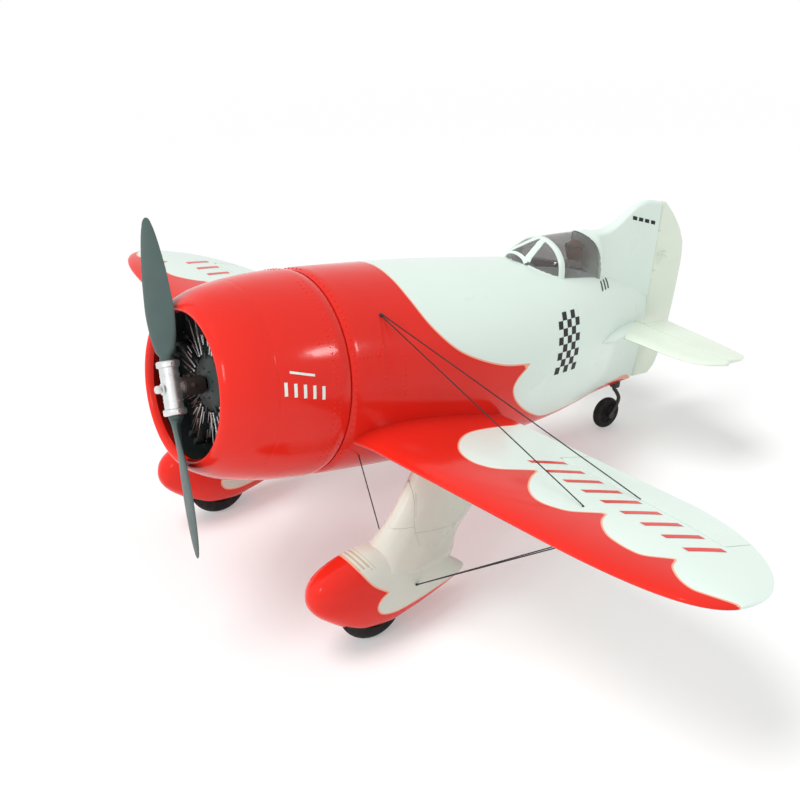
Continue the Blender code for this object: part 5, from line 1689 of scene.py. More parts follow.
def make_pant(side):
    """Wheel pant with the well cut out for the wheel, and the fields that its paint reads."""
    name = side_name(side)
    made = pant_solid()
    item = made.on_side(side).done(name + "_pant_shell", PANT_PAINT, "airframe", 40)
    well = Build()
    half = WHEEL_WIDTH / 2 + WHEEL_CLEARANCE
    deep = WHEEL_RADIUS + WHEEL_CLEARANCE
    well.lathe([(-half, 0.0), (-half, deep), (half, deep), (half, 0.0)], wheel_centre(side), LEFTWARD, 64)
    carve(item, well)
    item.data.shade_smooth()
    item.data.set_sharp_from_angle(angle=math.radians(40))
    flat = local_points(item)[:, 1:]
    closing = [(0.24, -0.25), (0.0, -0.25), (0.0, -0.10)]
    outside = side_of(flat, arc_path(PANT_EDGE, [PANT_CUSP], 0.001), closing)
    set_field(item, "paint", outside)
    set_field(item, "stripe", np.where(flat[:, 1] > STRIPES_ABOVE, outside, -1.0))
    dress(name + "_wheel_pant")


def leg_values(height):
    return [curve_value(LEG_STATIONS, height, column) for column in (1, 2, 3)]


def leg_ring(height, flare):
    """Section of the left leg at a height, grown by a flare."""
    columns = 30
    front, rear, half = leg_values(height)
    front -= flare * 1.4
    rear += flare * 0.8
    half += flare
    shares = [0.5 - 0.5 * math.cos(math.pi * k / columns) for k in range(columns + 1)]
    side = [(front + (rear - front) * s, half * curve_value(LEG_PROFILE, s)) for s in shares]
    ring = [(WHEEL_SPREAD + wide, aft, height) for aft, wide in side]
    return ring + [(WHEEL_SPREAD - wide, aft, height) for aft, wide in reversed(side)]


def make_leg(side):
    name = side_name(side)
    made = Build()
    low, high = LEG_STATIONS[0][0], LEG_STATIONS[-1][0]
    rows = []
    for height in np.linspace(low, high, 60):
        near_pant = min(1.0, max(0.0, 1 - (height + 0.1330) / 0.020))
        near_wing = min(1.0, max(0.0, 1 - (high - 0.0035 - height) / 0.0060))
        rows.append(leg_ring(height, 0.0050 * near_pant ** 2 + 0.0014 * near_wing ** 2))
    made.rings(rows)
    item = made.on_side(side).done(name + "_leg_fairing", CREAM_PAINT, "airframe", 45)
    dress(name + "_gear_leg")


def leg_half(aft, height):
    """Half thickness of the leg at a place on its side."""
    front, rear, half = leg_values(height)
    return half * curve_value(LEG_PROFILE, (aft - front) / (rear - front))


def make_leg_seams(side):
    """Fine joint lines on both faces of a leg."""
    seams = Build()
    lines = (
        [(0.1530, -0.0560), (0.1545, -0.0750), (0.1545, -0.0960), (0.1600, -0.1130), (0.1640, -0.1240)],
        [(0.1350, -0.0980), (0.1440, -0.0972), (0.1545, -0.0960)],
        [(0.1545, -0.1020), (0.1800, -0.1035), (0.2060, -0.1050)],
        [(0.1560, -0.0880), (0.1560, -0.0660)],
    )
    for line in lines:
        path = arc_path(line, [], 0.002)
        for face in (1, -1):
            route = [(WHEEL_SPREAD + face * (leg_half(aft, z) - 0.00022), aft, z) for aft, z in path]
            seams.tube(route, 0.00030, 6)
    name = side_name(side) + "_leg_seams"
    seams.on_side(side).done(name, SEAM_LINE, "airframe", 60)


def make_tyre(side):
    """Balloon tyre with fine grooves round its tread."""
    half = WHEEL_WIDTH / 2
    reach = 1.25
    tread = []
    for a in np.linspace(-reach, reach, 41):
        groove = 0.0005 if abs(a) < 0.5 and int((a + reach) * 16) % 2 else 0.0
        radius = WHEEL_RADIUS - 0.0105 * (1 - math.cos(a)) - groove
        tread.append((half * math.sin(a) / math.sin(reach), radius))
    bead = [
        (-half * 0.72, RIM_RADIUS - 0.0006),
        (-half * 0.95, RIM_RADIUS + 0.0010),
        (-half, RIM_RADIUS + 0.0040),
    ]
    tyre = Build()
    tyre.lathe(bead + tread + [(-a, r) for a, r in reversed(bead)], wheel_centre(side), LEFTWARD, 72)
    name = side_name(side)
    item = tyre.done(name + "_tyre_moulding", RUBBER, name + "_wheel", 35)
    dress(name + "_tyre")


def make_hub(side):
    """Dished disc, the same on both faces, with a ring of six studs on each."""
    half = WHEEL_WIDTH / 2
    centre = wheel_centre(side)
    face = [
        (-half * 0.85, 0.0020),
        (-half * 0.85, 0.0046),
        (-half * 0.80, 0.0050),
        (-half * 0.35, 0.0070),
        (-half * 0.42, 0.0145),
        (-half * 0.70, RIM_RADIUS - 0.0012),
        (-half * 0.72, RIM_RADIUS - 0.0004),
    ]
    hub = Build()
    hub.lathe(face + [(-a, r) for a, r in reversed(face)], centre, LEFTWARD, 48)
    for angle in turns(6):
        out = Vector((0, math.cos(angle), math.sin(angle)))
        for end in (-1, 1):
            stud = centre + out * 0.0105 + Vector((end * half * 0.40, 0, 0))
            hub.ball(stud, (0.0010, 0.0013, 0.0013), 10, 5)
    name = side_name(side)
    item = hub.done(name + "_hub_casting", ALLOY, name + "_wheel", 40)
    dress(name + "_wheel_hub")


# ---- Canopy and cockpit ----


def glass_edge(height):
    """Distance aft of the glazing's rear edge, whose upper corner is round."""
    return curve_value(GLASS_EDGE, height)


def canopy_row(aft):
    return [curve_value(CANOPY_SECTIONS, aft, column) for column in (1, 2, 3, 4)]


def canopy_arch(aft, grow=0.0, count=27):
    """Hoop from the left sill over the roof to the right sill, at a distance aft."""
    sill, foot, shoulder, roof = canopy_row(aft)
    marks = np.array(
        [
            (sill, foot - 0.006),
            (sill, foot),
            (sill * 0.86 + shoulder * 0.14, foot + (roof - foot) * 0.42),
            (sill * 0.42 + shoulder * 0.58, foot + (roof - foot) * 0.75),
            (shoulder * 0.72, roof - (roof - foot) * 0.06),
            (0.0, roof),
        ]
    )
    whole = np.concatenate([marks, marks[-2::-1] * [-1, 1]])
    path = arc_path(whole, [1, len(whole) - 2], 0.0006)
    length = np.concatenate([[0], np.cumsum(np.linalg.norm(np.diff(path, axis=0), axis=1))])
    at = np.linspace(0, length[-1], count)
    ring = np.stack([np.interp(at, length, path[:, 0]), np.interp(at, length, path[:, 1])], 1)
    normal = np.stack([np.gradient(ring[:, 1]), -np.gradient(ring[:, 0])], 1)
    normal /= np.maximum(np.linalg.norm(normal, axis=1), 1e-9)[:, None]
    middle = np.array([0, foot])
    out = np.sign(((ring - middle) * normal).sum(1))
    ring = ring + normal * out[:, None] * grow
    return [Vector((x, aft, z)) for x, z in ring]


def make_glazing():
    """Smoked glass with a rounded upper rear corner."""
    marks = [row[0] for row in CANOPY_SECTIONS[:2]]
    marks += [0.3850, CANOPY_ARCH_AT, 0.4250, 0.4450, GLASS_REAR]
    places = refined(marks, 0.0015)
    count = 61
    rings = [canopy_arch(aft, 0.0008 if aft > CANOPY_REAR else 0.0, count) for aft in places]
    points = [p for ring in rings for p in ring]
    faces = []
    for face in grid_faces(len(rings), count, closed=False):
        if max(points[n].y for n in face) < glass_edge(max(points[n].z for n in face)):
            faces.append(face)
    item = piece("canopy_glazing", points, faces, SMOKED, "airframe", 60)
    wall = item.modifiers.new("wall", "SOLIDIFY")
    wall.thickness = 0.0006
    wall.offset = 1.0
    baked(item)
    item.data.shade_smooth()
    dress("canopy_glass")


def add_strip(build, route, wide, thick):
    """Flat bar laid over the glazing along a route of places with their outward directions."""
    half = wide / 2
    left = [(-half, -0.0006), (-half, thick * 0.55), (-half * 0.72, thick)]
    plan = left + [(-across, high) for across, high in reversed(left)]
    rings = []
    for k, (place, out) in enumerate(route):
        ahead = (route[min(k + 1, len(route) - 1)][0] - route[max(k - 1, 0)][0]).normalized()
        side = ahead.cross(out).normalized()
        rings.append([place + side * across + out * high for across, high in plan])
    build.rings(rings)


def on_glass(aft, across):
    """Point of the glazing at a distance aft whose x is given, with the outward direction there."""
    count = 121
    ring = canopy_arch(aft, 0.0, count)
    above_sill = [p for p in ring if p.z > canopy_row(aft)[1] - 0.004]
    best = min(above_sill, key=lambda p: (abs(p.x - across), -p.z))
    k = ring.index(best)
    tangent = (ring[min(k + 1, count - 1)] - ring[max(k - 1, 0)]).normalized()
    behind = canopy_arch(min(aft + 0.002, CANOPY_REAR), 0.0, count)[k]
    before = canopy_arch(max(aft - 0.002, 0.3651), 0.0, count)[k]
    out = tangent.cross((behind - before).normalized())
    if out.z < 0:
        out = -out
    return best, out.normalized()


def make_canopy_frames():
    """White hoop, the two bars of the windscreen, its foot and its lower edges."""
    made = Build()
    centre = Vector((0, CANOPY_ARCH_AT, 0.080))
    hoop = canopy_arch(CANOPY_ARCH_AT, 0.0, 61)
    add_strip(made, [(p, (p - centre).normalized()) for p in hoop], 0.0078, 0.0016)
    front = CANOPY_FRONT_ARCH
    steps = np.linspace(0, 1, 22)
    for side in (1, -1):
        bar = []
        sill = []
        for t in steps:
            aft = front + (CANOPY_ARCH_AT - front) * t
            bar.append(on_glass(aft, side * (0.0150 + (0.0030 - 0.0150) * t)))
            sill.append(on_glass(aft, side * (canopy_row(aft)[0] + 0.0001)))
        add_strip(made, bar, 0.0070, 0.0015)
        add_strip(made, sill, 0.0040, 0.0011)
    foot = [on_glass(front - 0.001, across) for across in np.linspace(-0.0150, 0.0150, 15)]
    add_strip(made, foot, 0.0044, 0.0013)
    item = made.done("canopy_frames", WHITE_PAINT, "airframe", 35)
    dress("canopy_frame")


def make_canopy_rear_band():
    """White skin that carries the glazing's rear edge into the fin."""
    places = np.linspace(0.4540, GLASS_REAR + 0.0008, 30)
    count = 61
    rings = [canopy_arch(aft, 0.0012 - 0.36 * max(0.0, aft - 0.4700), count) for aft in places]
    faces = []
    for k in range(len(places) - 1):
        for i in range(count - 1):
            middle = (rings[k][i] + rings[k + 1][i + 1]) / 2
            if middle.y > glass_edge(middle.z) - 0.0016:
                a, b = k * count + i, (k + 1) * count + i
                faces.append((a, a + 1, b + 1, b))
    rear = Build()
    rear.take([p for ring in rings for p in ring], faces)
    rear.done("canopy_rear_band", WHITE_PAINT, "airframe", 60)


def make_cockpit_floor():
    made = Build()
    made.box((0, 0.4180, COCKPIT_FLOOR - 0.0008), (0.0760, 0.0820, 0.0022), None, 0.0005)
    for k in range(9):
        made.box((0, 0.3840 + k * 0.0085, COCKPIT_FLOOR + 0.0005), (0.0640, 0.0012, 0.0006))
    item = made.done("cockpit_floor_plate", BLACK_PLASTIC, "airframe")
    dress("cockpit_floor")


def make_instruments():
    """Panel with five plain dials, each a raised rim with one hand."""
    panel = Build()
    panel.box((0, COCKPIT_FRONT + 0.0052, 0.0642), (0.0360, 0.0015, 0.0310), None, 0.0005)
    item = panel.done("instrument_board", BLACK_PLASTIC, "airframe")
    dress("instrument_panel")
    dials = Build()
    places = (
        (-0.0100, 0.0700, 0.0042),
        (0.0, 0.0710, 0.0046),
        (0.0100, 0.0700, 0.0042),
        (-0.0055, 0.0610, 0.0034),
        (0.0055, 0.0610, 0.0034),
    )
    for x, z, r in places:
        rim = [(0.0, r - 0.0008), (0.0012, r - 0.0006), (0.0012, r), (0.0, r)]
        dials.lathe(rim, (x, COCKPIT_FRONT + 0.0059, z), AFTWARD, 24)
        hand = Matrix.Rotation(x * 90, 3, "Y")
        dials.box((x, COCKPIT_FRONT + 0.0064, z), (0.0004, 0.0004, r * 1.2), hand)
    dials.done("instrument_dials", FIN_SILVER, "airframe")


# ---- Pilot: a calm, generic figure in a leather helmet, goggles up, jacket and white scarf ----

PILOT_SEAT = 0.4535
PILOT_BASE = COCKPIT_FLOOR + 0.0004
PILOT_HEAD = Vector((0, PILOT_SEAT - 0.0006, PILOT_BASE + 0.0455))


def pilot_point(across, aft, height):
    """Place on the pilot's body, from the middle of the seat."""
    return Vector((across, PILOT_SEAT + aft, PILOT_BASE + height))


def head_point(across, aft, height):
    return PILOT_HEAD + Vector((across, aft, height))


def make_pilot_jacket():
    body = Build()
    body.ball(pilot_point(0, 0, 0.0150), (0.0150, 0.0092, 0.0150), 28, 18)
    body.ball(pilot_point(0, 0, 0.0240), (0.0135, 0.0080, 0.0085), 28, 14)
    for side in (-1, 1):
        body.ball(pilot_point(side * 0.0122, -0.0005, 0.0232), (0.0050, 0.0052, 0.0054), 16, 10)
        sleeve = [
            pilot_point(side * 0.0140, -0.001, 0.0210),
            pilot_point(side * 0.0152, -0.006, 0.0140),
            pilot_point(side * 0.0105, -0.0150, 0.0110),
        ]
        body.tube(sleeve, [0.0038, 0.0034, 0.0028], 14)
    item = body.done("pilot_jacket", JACKET_BROWN, "airframe", 60)
    dress("pilot_figure")


def face_relief(angle, x, level):
    """How far nose, mouth, chin and eye hollows stand back from a plain head, at an angle from the front."""
    front = max(0.0, math.cos(angle))
    nose = 0.0009 * front ** 24 * math.exp(-((level + 0.10) / 0.16) ** 2)
    mouth = 0.0004 * front ** 10 * math.exp(-((level + 0.48) / 0.09) ** 2)
    chin = 0.0005 * front ** 10 * math.exp(-((level + 0.78) / 0.12) ** 2)
    eyes = math.exp(-((abs(x) - 0.0032) / 0.0014) ** 2) * math.exp(-((level - 0.12) / 0.12) ** 2)
    return 0.0006 * eyes * (front > 0.2) - nose - mouth - chin


def make_pilot_face():
    face = Build()
    rows = []
    for level in np.linspace(-1, 1, 25):
        round_share = math.sqrt(max(0.0, 1 - level * level)) ** 0.9
        width = 0.0080 * round_share * (1 - 0.16 * max(0.0, -level))
        depth = 0.0094 * round_share
        ring = []
        for a in turns(40):
            x = width * math.sin(a)
            ring.append(head_point(x, face_relief(a, x, level) - depth * math.cos(a), 0.0108 * level))
        rows.append(ring)
    face.rings(rows)
    for side in (-1, 1):
        face.ball(head_point(side * 0.0079, 0.0010, -0.0005), (0.0008, 0.0014, 0.0020), 10, 8)
    face.tube([head_point(0, 0.001, -0.0085), pilot_point(0, 0, 0.0290)], [0.0050, 0.0052], 20)
    face.done("pilot_face", SKIN_TONE, "airframe", 70)


def make_pilot_helmet():
    """Cap that comes low at the neck, with ear flaps and a seam over its back."""
    cap = Build()
    rows = []
    for level in np.linspace(0, 1, 14):
        a = level * math.pi / 2
        reach = math.cos(a) ** 0.8
        ring = []
        for b in turns(40):
            back = 0.5 - 0.5 * math.cos(b)
            rim = 0.0022 - 0.0105 * back ** 0.7
            height = rim + (0.0120 - rim) * math.sin(a)
            ring.append(head_point(0.0090 * math.sin(b) * reach, -0.0104 * math.cos(b) * reach, height))
        rows.append(ring)
    cap.rings(rows, caps=False)
    for side in (-1, 1):
        cap.ball(head_point(side * 0.0083, 0.0010, -0.0010), (0.0012, 0.0032, 0.0042), 14, 10)
    seam = [head_point(0, -0.0008, 0.0122), head_point(0, 0.0070, 0.0095), head_point(0, 0.0103, 0.0010)]
    cap.tube(seam, 0.0004, 8)
    cap.done("pilot_helmet", LEATHER_TAN, "airframe", 70)


def make_pilot_goggles():
    """Goggles pushed up on the helmet, and the eyes below them."""
    lenses = Build()
    around = np.linspace(0, math.tau, 33)
    lenses.tube([head_point(0.0092 * math.sin(b), -0.0106 * math.cos(b), 0.0062) for b in around], 0.0006, 8)
    cup = [(0.0, 0.0), (0.0004, 0.0022), (0.0, 0.0028), (-0.0012, 0.0028)]
    for side in (-1, 1):
        lenses.lathe(cup, head_point(side * 0.0034, -0.0098, 0.0062), (side * 0.25, -1, 0.2), 18)
    lenses.done("pilot_goggles", DARK_LINE, "airframe", 60)
    eyes = Build()
    for side in (-1, 1):
        eyes.ball(head_point(side * 0.0031, -0.0080, 0.0013), (0.0010, 0.0004, 0.0005), 12, 8)
    eyes.done("pilot_eyes", DARK_LINE, "airframe", 60)


def make_pilot_scarf():
    """Three turns round the neck and a loose end down the chest."""
    scarf = Build()
    for level, radius in ((0.0305, 0.0075), (0.0330, 0.0070), (0.0352, 0.0064)):
        loop = []
        for b in np.linspace(0, math.tau, 33):
            height = level + 0.0004 * math.sin(3 * b)
            loop.append(pilot_point(radius * math.sin(b), -radius * 0.86 * math.cos(b), height))
        scarf.tube(loop, 0.0021, 12)
    end = [
        pilot_point(0.0020, -0.0066, 0.0320),
        pilot_point(0.0034, -0.0092, 0.0270),
        pilot_point(0.0040, -0.0096, 0.0190),
    ]
    scarf.tube(end, [0.0022, 0.0026, 0.0020], 12)
    scarf.done("pilot_scarf", SCARF_WHITE, "airframe", 70)


# ---- Bracing wires ----


def pant_side(aft, height):
    share, top, bottom = pant_row(aft)
    rise = (height - (top + bottom) / 2) / ((top - bottom) / 2)
    return PANT_HALF_WIDTH * share * (1 - rise * rise) ** 0.45


def wing_skin(span, aft, proud, side):
    lead, trail = wing_edges(span)
    return wing_point(span, (aft - lead) / (trail - lead), side, proud)


def braid(build, start, end):
    """Braided line: three strands turned round each other."""
    start, end = Vector(start), Vector(end)
    ahead = (end - start).normalized()
    side = ahead.orthogonal().normalized()
    up = ahead.cross(side)
    count = max(8, int((end - start).length / 0.0012))
    for strand in range(3):
        route = []
        for k in range(count + 1):
            turn = math.tau * (strand / 3 + k / 5.5)
            out = (side * math.cos(turn) + up * math.sin(turn)) * WIRE_RADIUS * 0.46
            route.append(start + (end - start) * k / count + out)
        build.tube(route, WIRE_RADIUS * 0.56, 5)


def wire_pair(fittings, start, ends, eye):
    """Two braided lines from one place, with a small fitting at the far end of each."""
    made = Build()
    for end, shift in zip(ends, (-0.0010, 0.0010)):
        braid(made, start + Vector((0, shift, 0)), end)
        fittings.ball(end, eye, 12, 8)
    return made


def make_wires(side):
    """Upper, lower and inner wires of one side and all their fittings."""
    proud = WIRE_RADIUS + 0.0003
    anchor_eye = (0.0011, 0.0018, 0.0011)
    fittings = Build()
    top = body_skin(*UPPER_ANCHOR, proud)
    normal = (body_skin(*UPPER_ANCHOR, 0.01) - body_skin(*UPPER_ANCHOR)).normalized()
    ends = [wing_skin(*end, proud, 1) for end in UPPER_WIRE_ENDS]
    upper = wire_pair(fittings, top, ends, (0.0008, 0.0007, 0.0006))
    cup = [(-0.0009, 0.0), (-0.0009, 0.0010), (-0.0005, 0.0011), (0.0, 0.0)]
    fittings.lathe(cup, ends[0], UPWARD, 16)
    plate = [(-0.0010, 0.0), (-0.0010, 0.0018), (0.0, 0.0020), (0.0005, 0.0014), (0.0005, 0.0)]
    fittings.lathe(plate, top, normal, 20)
    fittings.ball(top, anchor_eye, 12, 8)
    aft, height = LOWER_ANCHOR
    low = Vector((WHEEL_SPREAD + pant_side(aft, height) + proud, aft, height))
    ends = [wing_skin(*end, proud, -1) for end in LOWER_WIRE_ENDS]
    lower = wire_pair(fittings, low, ends, (0.0008, 0.0009, 0.0007))
    fittings.ball(low, anchor_eye, 12, 8)
    inner = Build()
    aft, height = INNER_FOOT
    foot = Vector((WHEEL_SPREAD - leg_half(aft, height) - 0.0004, aft, height))
    start = body_skin(*INNER_ANCHOR, 0.0001)
    braid(inner, start, foot)
    fittings.ball(start, (0.0009, 0.0010, 0.0010), 12, 8)
    fittings.ball(foot, (0.0008, 0.0010, 0.0010), 12, 8)
    name = side_name(side)
    for build, label in ((upper, "upper_wires"), (lower, "lower_wires"), (inner, "inner_wire")):
        item = build.on_side(side).done(f"{name}_{label}_braid", WIRE_BLACK, "airframe", 60)
        dress(f"{name}_{label}")
    item = fittings.on_side(side).done(name + "_wire_fittings", BLACK_PLASTIC, "airframe", 60)


def make_axle(side):
    """Rod with chamfered ends across the wheel well."""
    half = WHEEL_WIDTH / 2 + WHEEL_CLEARANCE + 0.0022
    end = [(-half, 0.0), (-half, 0.0012), (-half + 0.0004, 0.0015)]
    made = Build()
    made.lathe(end + [(-a, r) for a, r in reversed(end)], wheel_centre(side), LEFTWARD, 24)
    name = side_name(side)
    item = made.done(name + "_axle_rod", STEEL, "airframe", 40)
    dress(name + "_axle")


for SIDE in (1, -1):
    make_pant(SIDE)
    make_axle(SIDE)
    make_leg(SIDE)
    make_leg_seams(SIDE)
    make_tyre(SIDE)
    make_hub(SIDE)
    make_wires(SIDE)
make_glazing()
make_canopy_frames()
make_canopy_rear_band()
make_cockpit_floor()
make_instruments()
make_pilot_jacket()
make_pilot_face()
make_pilot_helmet()
make_pilot_goggles()
make_pilot_scarf()

# ---- Markings ----


class Skin:
    """Outer surface of pieces in the aircraft's axes, on which paint marks are laid."""

    def __init__(self, *names):
        points, faces = [], []
        for name in names:
            item = bpy.data.objects[name]
            base = len(points)
            points += [Vector(p) for p in local_points(item)]
            faces += [tuple(base + n for n in polygon.vertices) for polygon in item.data.polygons]
        self.tree = BVHTree.FromPolygons(points, faces)

    def lay(self, build, corners, from_above=False, step=0.0025):
        """Adds a four-cornered mark, given as seen from the left side or from above."""
        a, b, c, d = (Vector(p) for p in corners)
        across = max(2, math.ceil((b - a).length / step))
        down = max(2, math.ceil((d - a).length / step))
        points = []
        for k in range(down + 1):
            for i in range(across + 1):
                near = a.lerp(b, i / across)
                far = d.lerp(c, i / across)
                at = near.lerp(far, k / down)
                start = Vector((at.x, at.y, 0.3)) if from_above else Vector((0.3, at.x, at.y))
                aim = Vector((0, 0, -1)) if from_above else Vector((-1, 0, 0))
                hit, normal = self.tree.ray_cast(start, aim)[:2]
                if hit is None:
                    return
                points.append(hit - aim * MARK_PROUD)
        build.take(points, grid_faces(down + 1, across + 1, closed=False))


def leaning(left, low, wide, high, lean):
    """Corners of an upright bar whose top is further aft by a lean."""
    return [(left, low), (left + wide, low), (left + wide + lean, low + high), (left + lean, low + high)]


def make_chequers():
    """Band of black chequers on the body side."""
    skin = Skin("fuselage_shell")
    made = Build()
    size, lean = 0.0072, 0.0012
    for column in range(5):
        for row in range(8):
            if (column + row) % 2 == 0:
                left = 0.3660 + column * size + row * lean
                skin.lay(made, leaning(left, -0.0040 + row * size, size, size, lean))
    both_sides(made, "body_chequers", MARK_BLACK)


def make_wing_bars():
    """Row of slanted red bars on the white of each wing, ahead of the aileron."""
    skin = Skin("left_wing_skin")
    made = Build()
    for k in range(9):
        span = 0.2080 + k * 0.0235
        lead, trail = wing_edges(span)
        rear = lead + (trail - lead) * hinge_share(span) - 0.0060
        front = rear - 0.0340
        corners = [(span, front), (span + 0.0065, front), (span + 0.0165, rear), (span + 0.0100, rear)]
        skin.lay(made, corners, True)
    both_sides(made, "wing_bars", RED_PAINT)


def make_cowl_bars():
    """Five short white bars under a long one."""
    skin = Skin("cowl_shell")
    made = Build()
    for k in range(5):
        skin.lay(made, leaning(0.0500 + k * 0.0088, 0.0170 - k * 0.0014, 0.0030, 0.0115, 0.0))
    skin.lay(made, [(0.0560, 0.0355), (0.0790, 0.0315), (0.0790, 0.0335), (0.0560, 0.0375)])
    both_sides(made, "cowl_bars", WHITE_PAINT)


def make_tail_dashes():
    """Four dark dashes on the fin and three slanted ones behind the canopy."""
    made = Build()
    fin = Skin("fin_skin")
    for k in range(4):
        aft = 0.5270 + k * 0.0100
        height = 0.1275 - k * 0.0021
        end, drop = aft + 0.0070, 0.0015
        low, high = height - 0.0020, height + 0.0020
        fin.lay(made, [(aft, low), (end, low - drop), (end, high - drop), (aft, high)])
    body = Skin("fuselage_shell")
    for k in range(3):
        body.lay(made, leaning(0.4680 + k * 0.0075, 0.0590, 0.0035, 0.0080, 0.0040))
    both_sides(made, "tail_dashes", MARK_BLACK)


make_chequers()
make_wing_bars()
make_cowl_bars()
make_tail_dashes()

# ---- Solids that keep their own shape ----

for NODE, MADE_OF in {
    "battery_tray": PLYWOOD,
    "servo_tray": PLYWOOD,
    "rear_former": PLYWOOD,
    "battery": BATTERY_BLUE,
    "elevator_servo": SERVO_BLUE,
    "rudder_servo": SERVO_BLUE,
    "speed_controller": BLACK_PLASTIC,
    "receiver": BLACK_PLASTIC,
    "motor_mount": ALLOY,
    "motor_stator": COPPER,
    "motor_bell": STEEL,
    "propeller_shaft": STEEL,
    "wing_joiner_tube": ALLOY,
    "left_gear_strut": STEEL,
    "right_gear_strut": STEEL,
    "elevator_joiner": STEEL,
}.items():
    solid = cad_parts[NODE]
    solid.data.materials.clear()
    solid.data.materials.append(MADE_OF)

# ---- Stage, lights and camera ----

FLOOR_GLOW = 0.30
FLOOR_NEAR = 0.75
FLOOR_FAR = 1.90
WORLD_LIGHT = 0.46


def make_floor():
    """Pale floor that stays white far out and takes a soft grey shadow close to the model."""
    data = bpy.data.meshes.new("floor")
    data.from_pydata([(-9, -9, 0), (9, -9, 0), (9, 9, 0), (-9, 9, 0)], [], [(0, 1, 2, 3)])
    floor = bpy.data.objects.new("floor", data)
    bpy.context.scene.collection.objects.link(floor)
    tone = Finish("floor_white", specular=0.0)
    tone.rough(0.85, 0.95, 3.0)
    tone.done(tone.drift((0.95, 0.95, 0.95), 0.99, 1.5))
    rays = tone.tree.nodes.new("ShaderNodeLightPath")
    seen = rays.outputs["Is Camera Ray"]
    for kind in ("Is Glossy Ray", "Is Transmission Ray"):
        seen = tone.maths("MAXIMUM", seen, rays.outputs[kind])
    glow = tone.node("ShaderNodeEmission", Strength=1.0)
    far = tone.node("ShaderNodeVectorMath", Vector=tone.place)
    far.operation = "LENGTH"
    glowing = tone.remap(far.outputs["Value"], FLOOR_NEAR, FLOOR_FAR, FLOOR_GLOW, 1.0)
    share = tone.maths("MULTIPLY", seen, glowing)
    both = tone.node("ShaderNodeMixShader", Fac=share)
    tone.tree.links.new(tone.shader.outputs["BSDF"], both.inputs[1])
    tone.tree.links.new(glow.outputs["Emission"], both.inputs[2])
    tone.tree.links.new(both.outputs["Shader"], tone.tree.nodes["Material Output"].inputs["Surface"])
    data.materials.append(tone.material)


def add_area(name, place, target, size, power, mirrored=True):
    """Softbox aimed at a point. One that isn't mirrored lights the paint without showing in its gloss."""
    data = bpy.data.lights.new(name, "AREA")
    data.shape = "RECTANGLE"
    data.size, data.size_y = size
    data.energy = power
    lamp = bpy.data.objects.new(name, data)
    bpy.context.scene.collection.objects.link(lamp)
    lamp.location = place
    lamp.rotation_euler = (Vector(target) - Vector(place)).to_track_quat("-Z", "Y").to_euler()
    lamp.visible_glossy = mirrored
    return lamp


def add_sky(direction, power, spread):
    """Broad overhead light, as from a large diffuser above the table."""
    data = bpy.data.lights.new("overhead_diffuser", "SUN")
    data.energy = power
    data.angle = math.radians(spread)
    lamp = bpy.data.objects.new("overhead_diffuser", data)
    bpy.context.scene.collection.objects.link(lamp)
    lamp.location = Vector(direction) * 2
    lamp.rotation_euler = Vector(direction).to_track_quat("Z", "Y").to_euler()
    lamp.visible_glossy = False


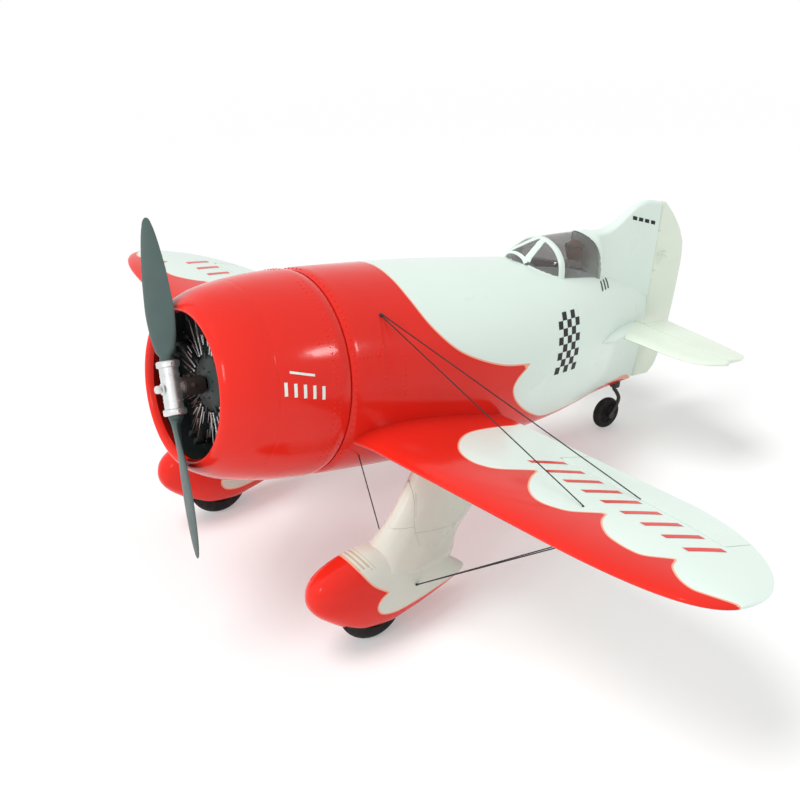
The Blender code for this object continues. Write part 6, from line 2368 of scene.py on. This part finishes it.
def make_world():
    """White behind everything and in every gloss, with a softer light for the surfaces."""
    world = bpy.data.worlds.new("studio")
    bpy.context.scene.world = world
    world.use_nodes = True
    tree = world.node_tree
    tree.nodes.clear()
    out = tree.nodes.new("ShaderNodeOutputWorld")
    rays = tree.nodes.new("ShaderNodeLightPath")
    seen = rays.outputs["Is Camera Ray"]
    for kind in ("Is Glossy Ray", "Is Transmission Ray"):
        either = tree.nodes.new("ShaderNodeMath")
        either.operation = "MAXIMUM"
        tree.links.new(seen, either.inputs[0])
        tree.links.new(rays.outputs[kind], either.inputs[1])
        seen = either.outputs["Value"]
    both = tree.nodes.new("ShaderNodeMixShader")
    tree.links.new(seen, both.inputs["Fac"])
    for socket, strength in ((1, WORLD_LIGHT), (2, 1.0)):
        shade = tree.nodes.new("ShaderNodeBackground")
        shade.inputs["Color"].default_value = (1.0, 1.0, 1.0, 1.0)
        shade.inputs["Strength"].default_value = strength
        tree.links.new(shade.outputs["Background"], both.inputs[socket])
    tree.links.new(both.outputs["Shader"], out.inputs["Surface"])


# The camera, solved from the photograph in the aircraft's axes: its angles are round, above and rolled.
CAMERA_DEGREES = (51.4678, 20.5361, 6.6965)
CAMERA_AIM = Vector((0.09017, 0.17285, -0.002256))
CAMERA_DISTANCE = 1.20678
FOCAL_PIXELS = 1340.49
PICTURE_PIXELS = 800.0
SENSOR_WIDTH = 36.0


def make_camera():
    around, above, roll = (math.radians(angle) for angle in CAMERA_DEGREES)
    back = Vector((math.sin(around) * math.cos(above), -math.cos(around) * math.cos(above), math.sin(above)))
    place = CAMERA_AIM + back * CAMERA_DISTANCE
    level = (-back).cross(Vector((0, 0, 1))).normalized()
    rise = level.cross(-back)
    right = level * math.cos(roll) + rise * math.sin(roll)
    up = rise * math.cos(roll) - level * math.sin(roll)
    pose = Matrix((right, up, back)).transposed().to_4x4()
    pose.translation = place
    data = bpy.data.cameras.new("camera")
    data.sensor_width = SENSOR_WIDTH
    data.lens = FOCAL_PIXELS * SENSOR_WIDTH / PICTURE_PIXELS
    data.clip_start = 0.05
    data.clip_end = 60.0
    camera = bpy.data.objects.new("camera", data)
    bpy.context.scene.collection.objects.link(camera)
    camera.matrix_world = STANCE @ pose
    bpy.context.scene.camera = camera


make_floor()
make_world()
add_sky((-0.14, -0.36, 1.0), 1.74, 32)
add_area("front_softbox", (0.1, -2.3, 1.1), (0.0, -0.2, 0.2), (0.9, 0.7), 14, mirrored=False)
add_area("window_light", (1.32, 0.80, 1.12), (0.08, -0.18, 0.25), (0.26, 0.20), 4.5)
add_area("strip_light", (0.85, -1.62, 1.20), (0.05, -0.25, 0.22), (0.10, 0.50), 3.5)
make_camera()
bpy.context.scene.view_settings.view_transform = "Standard"
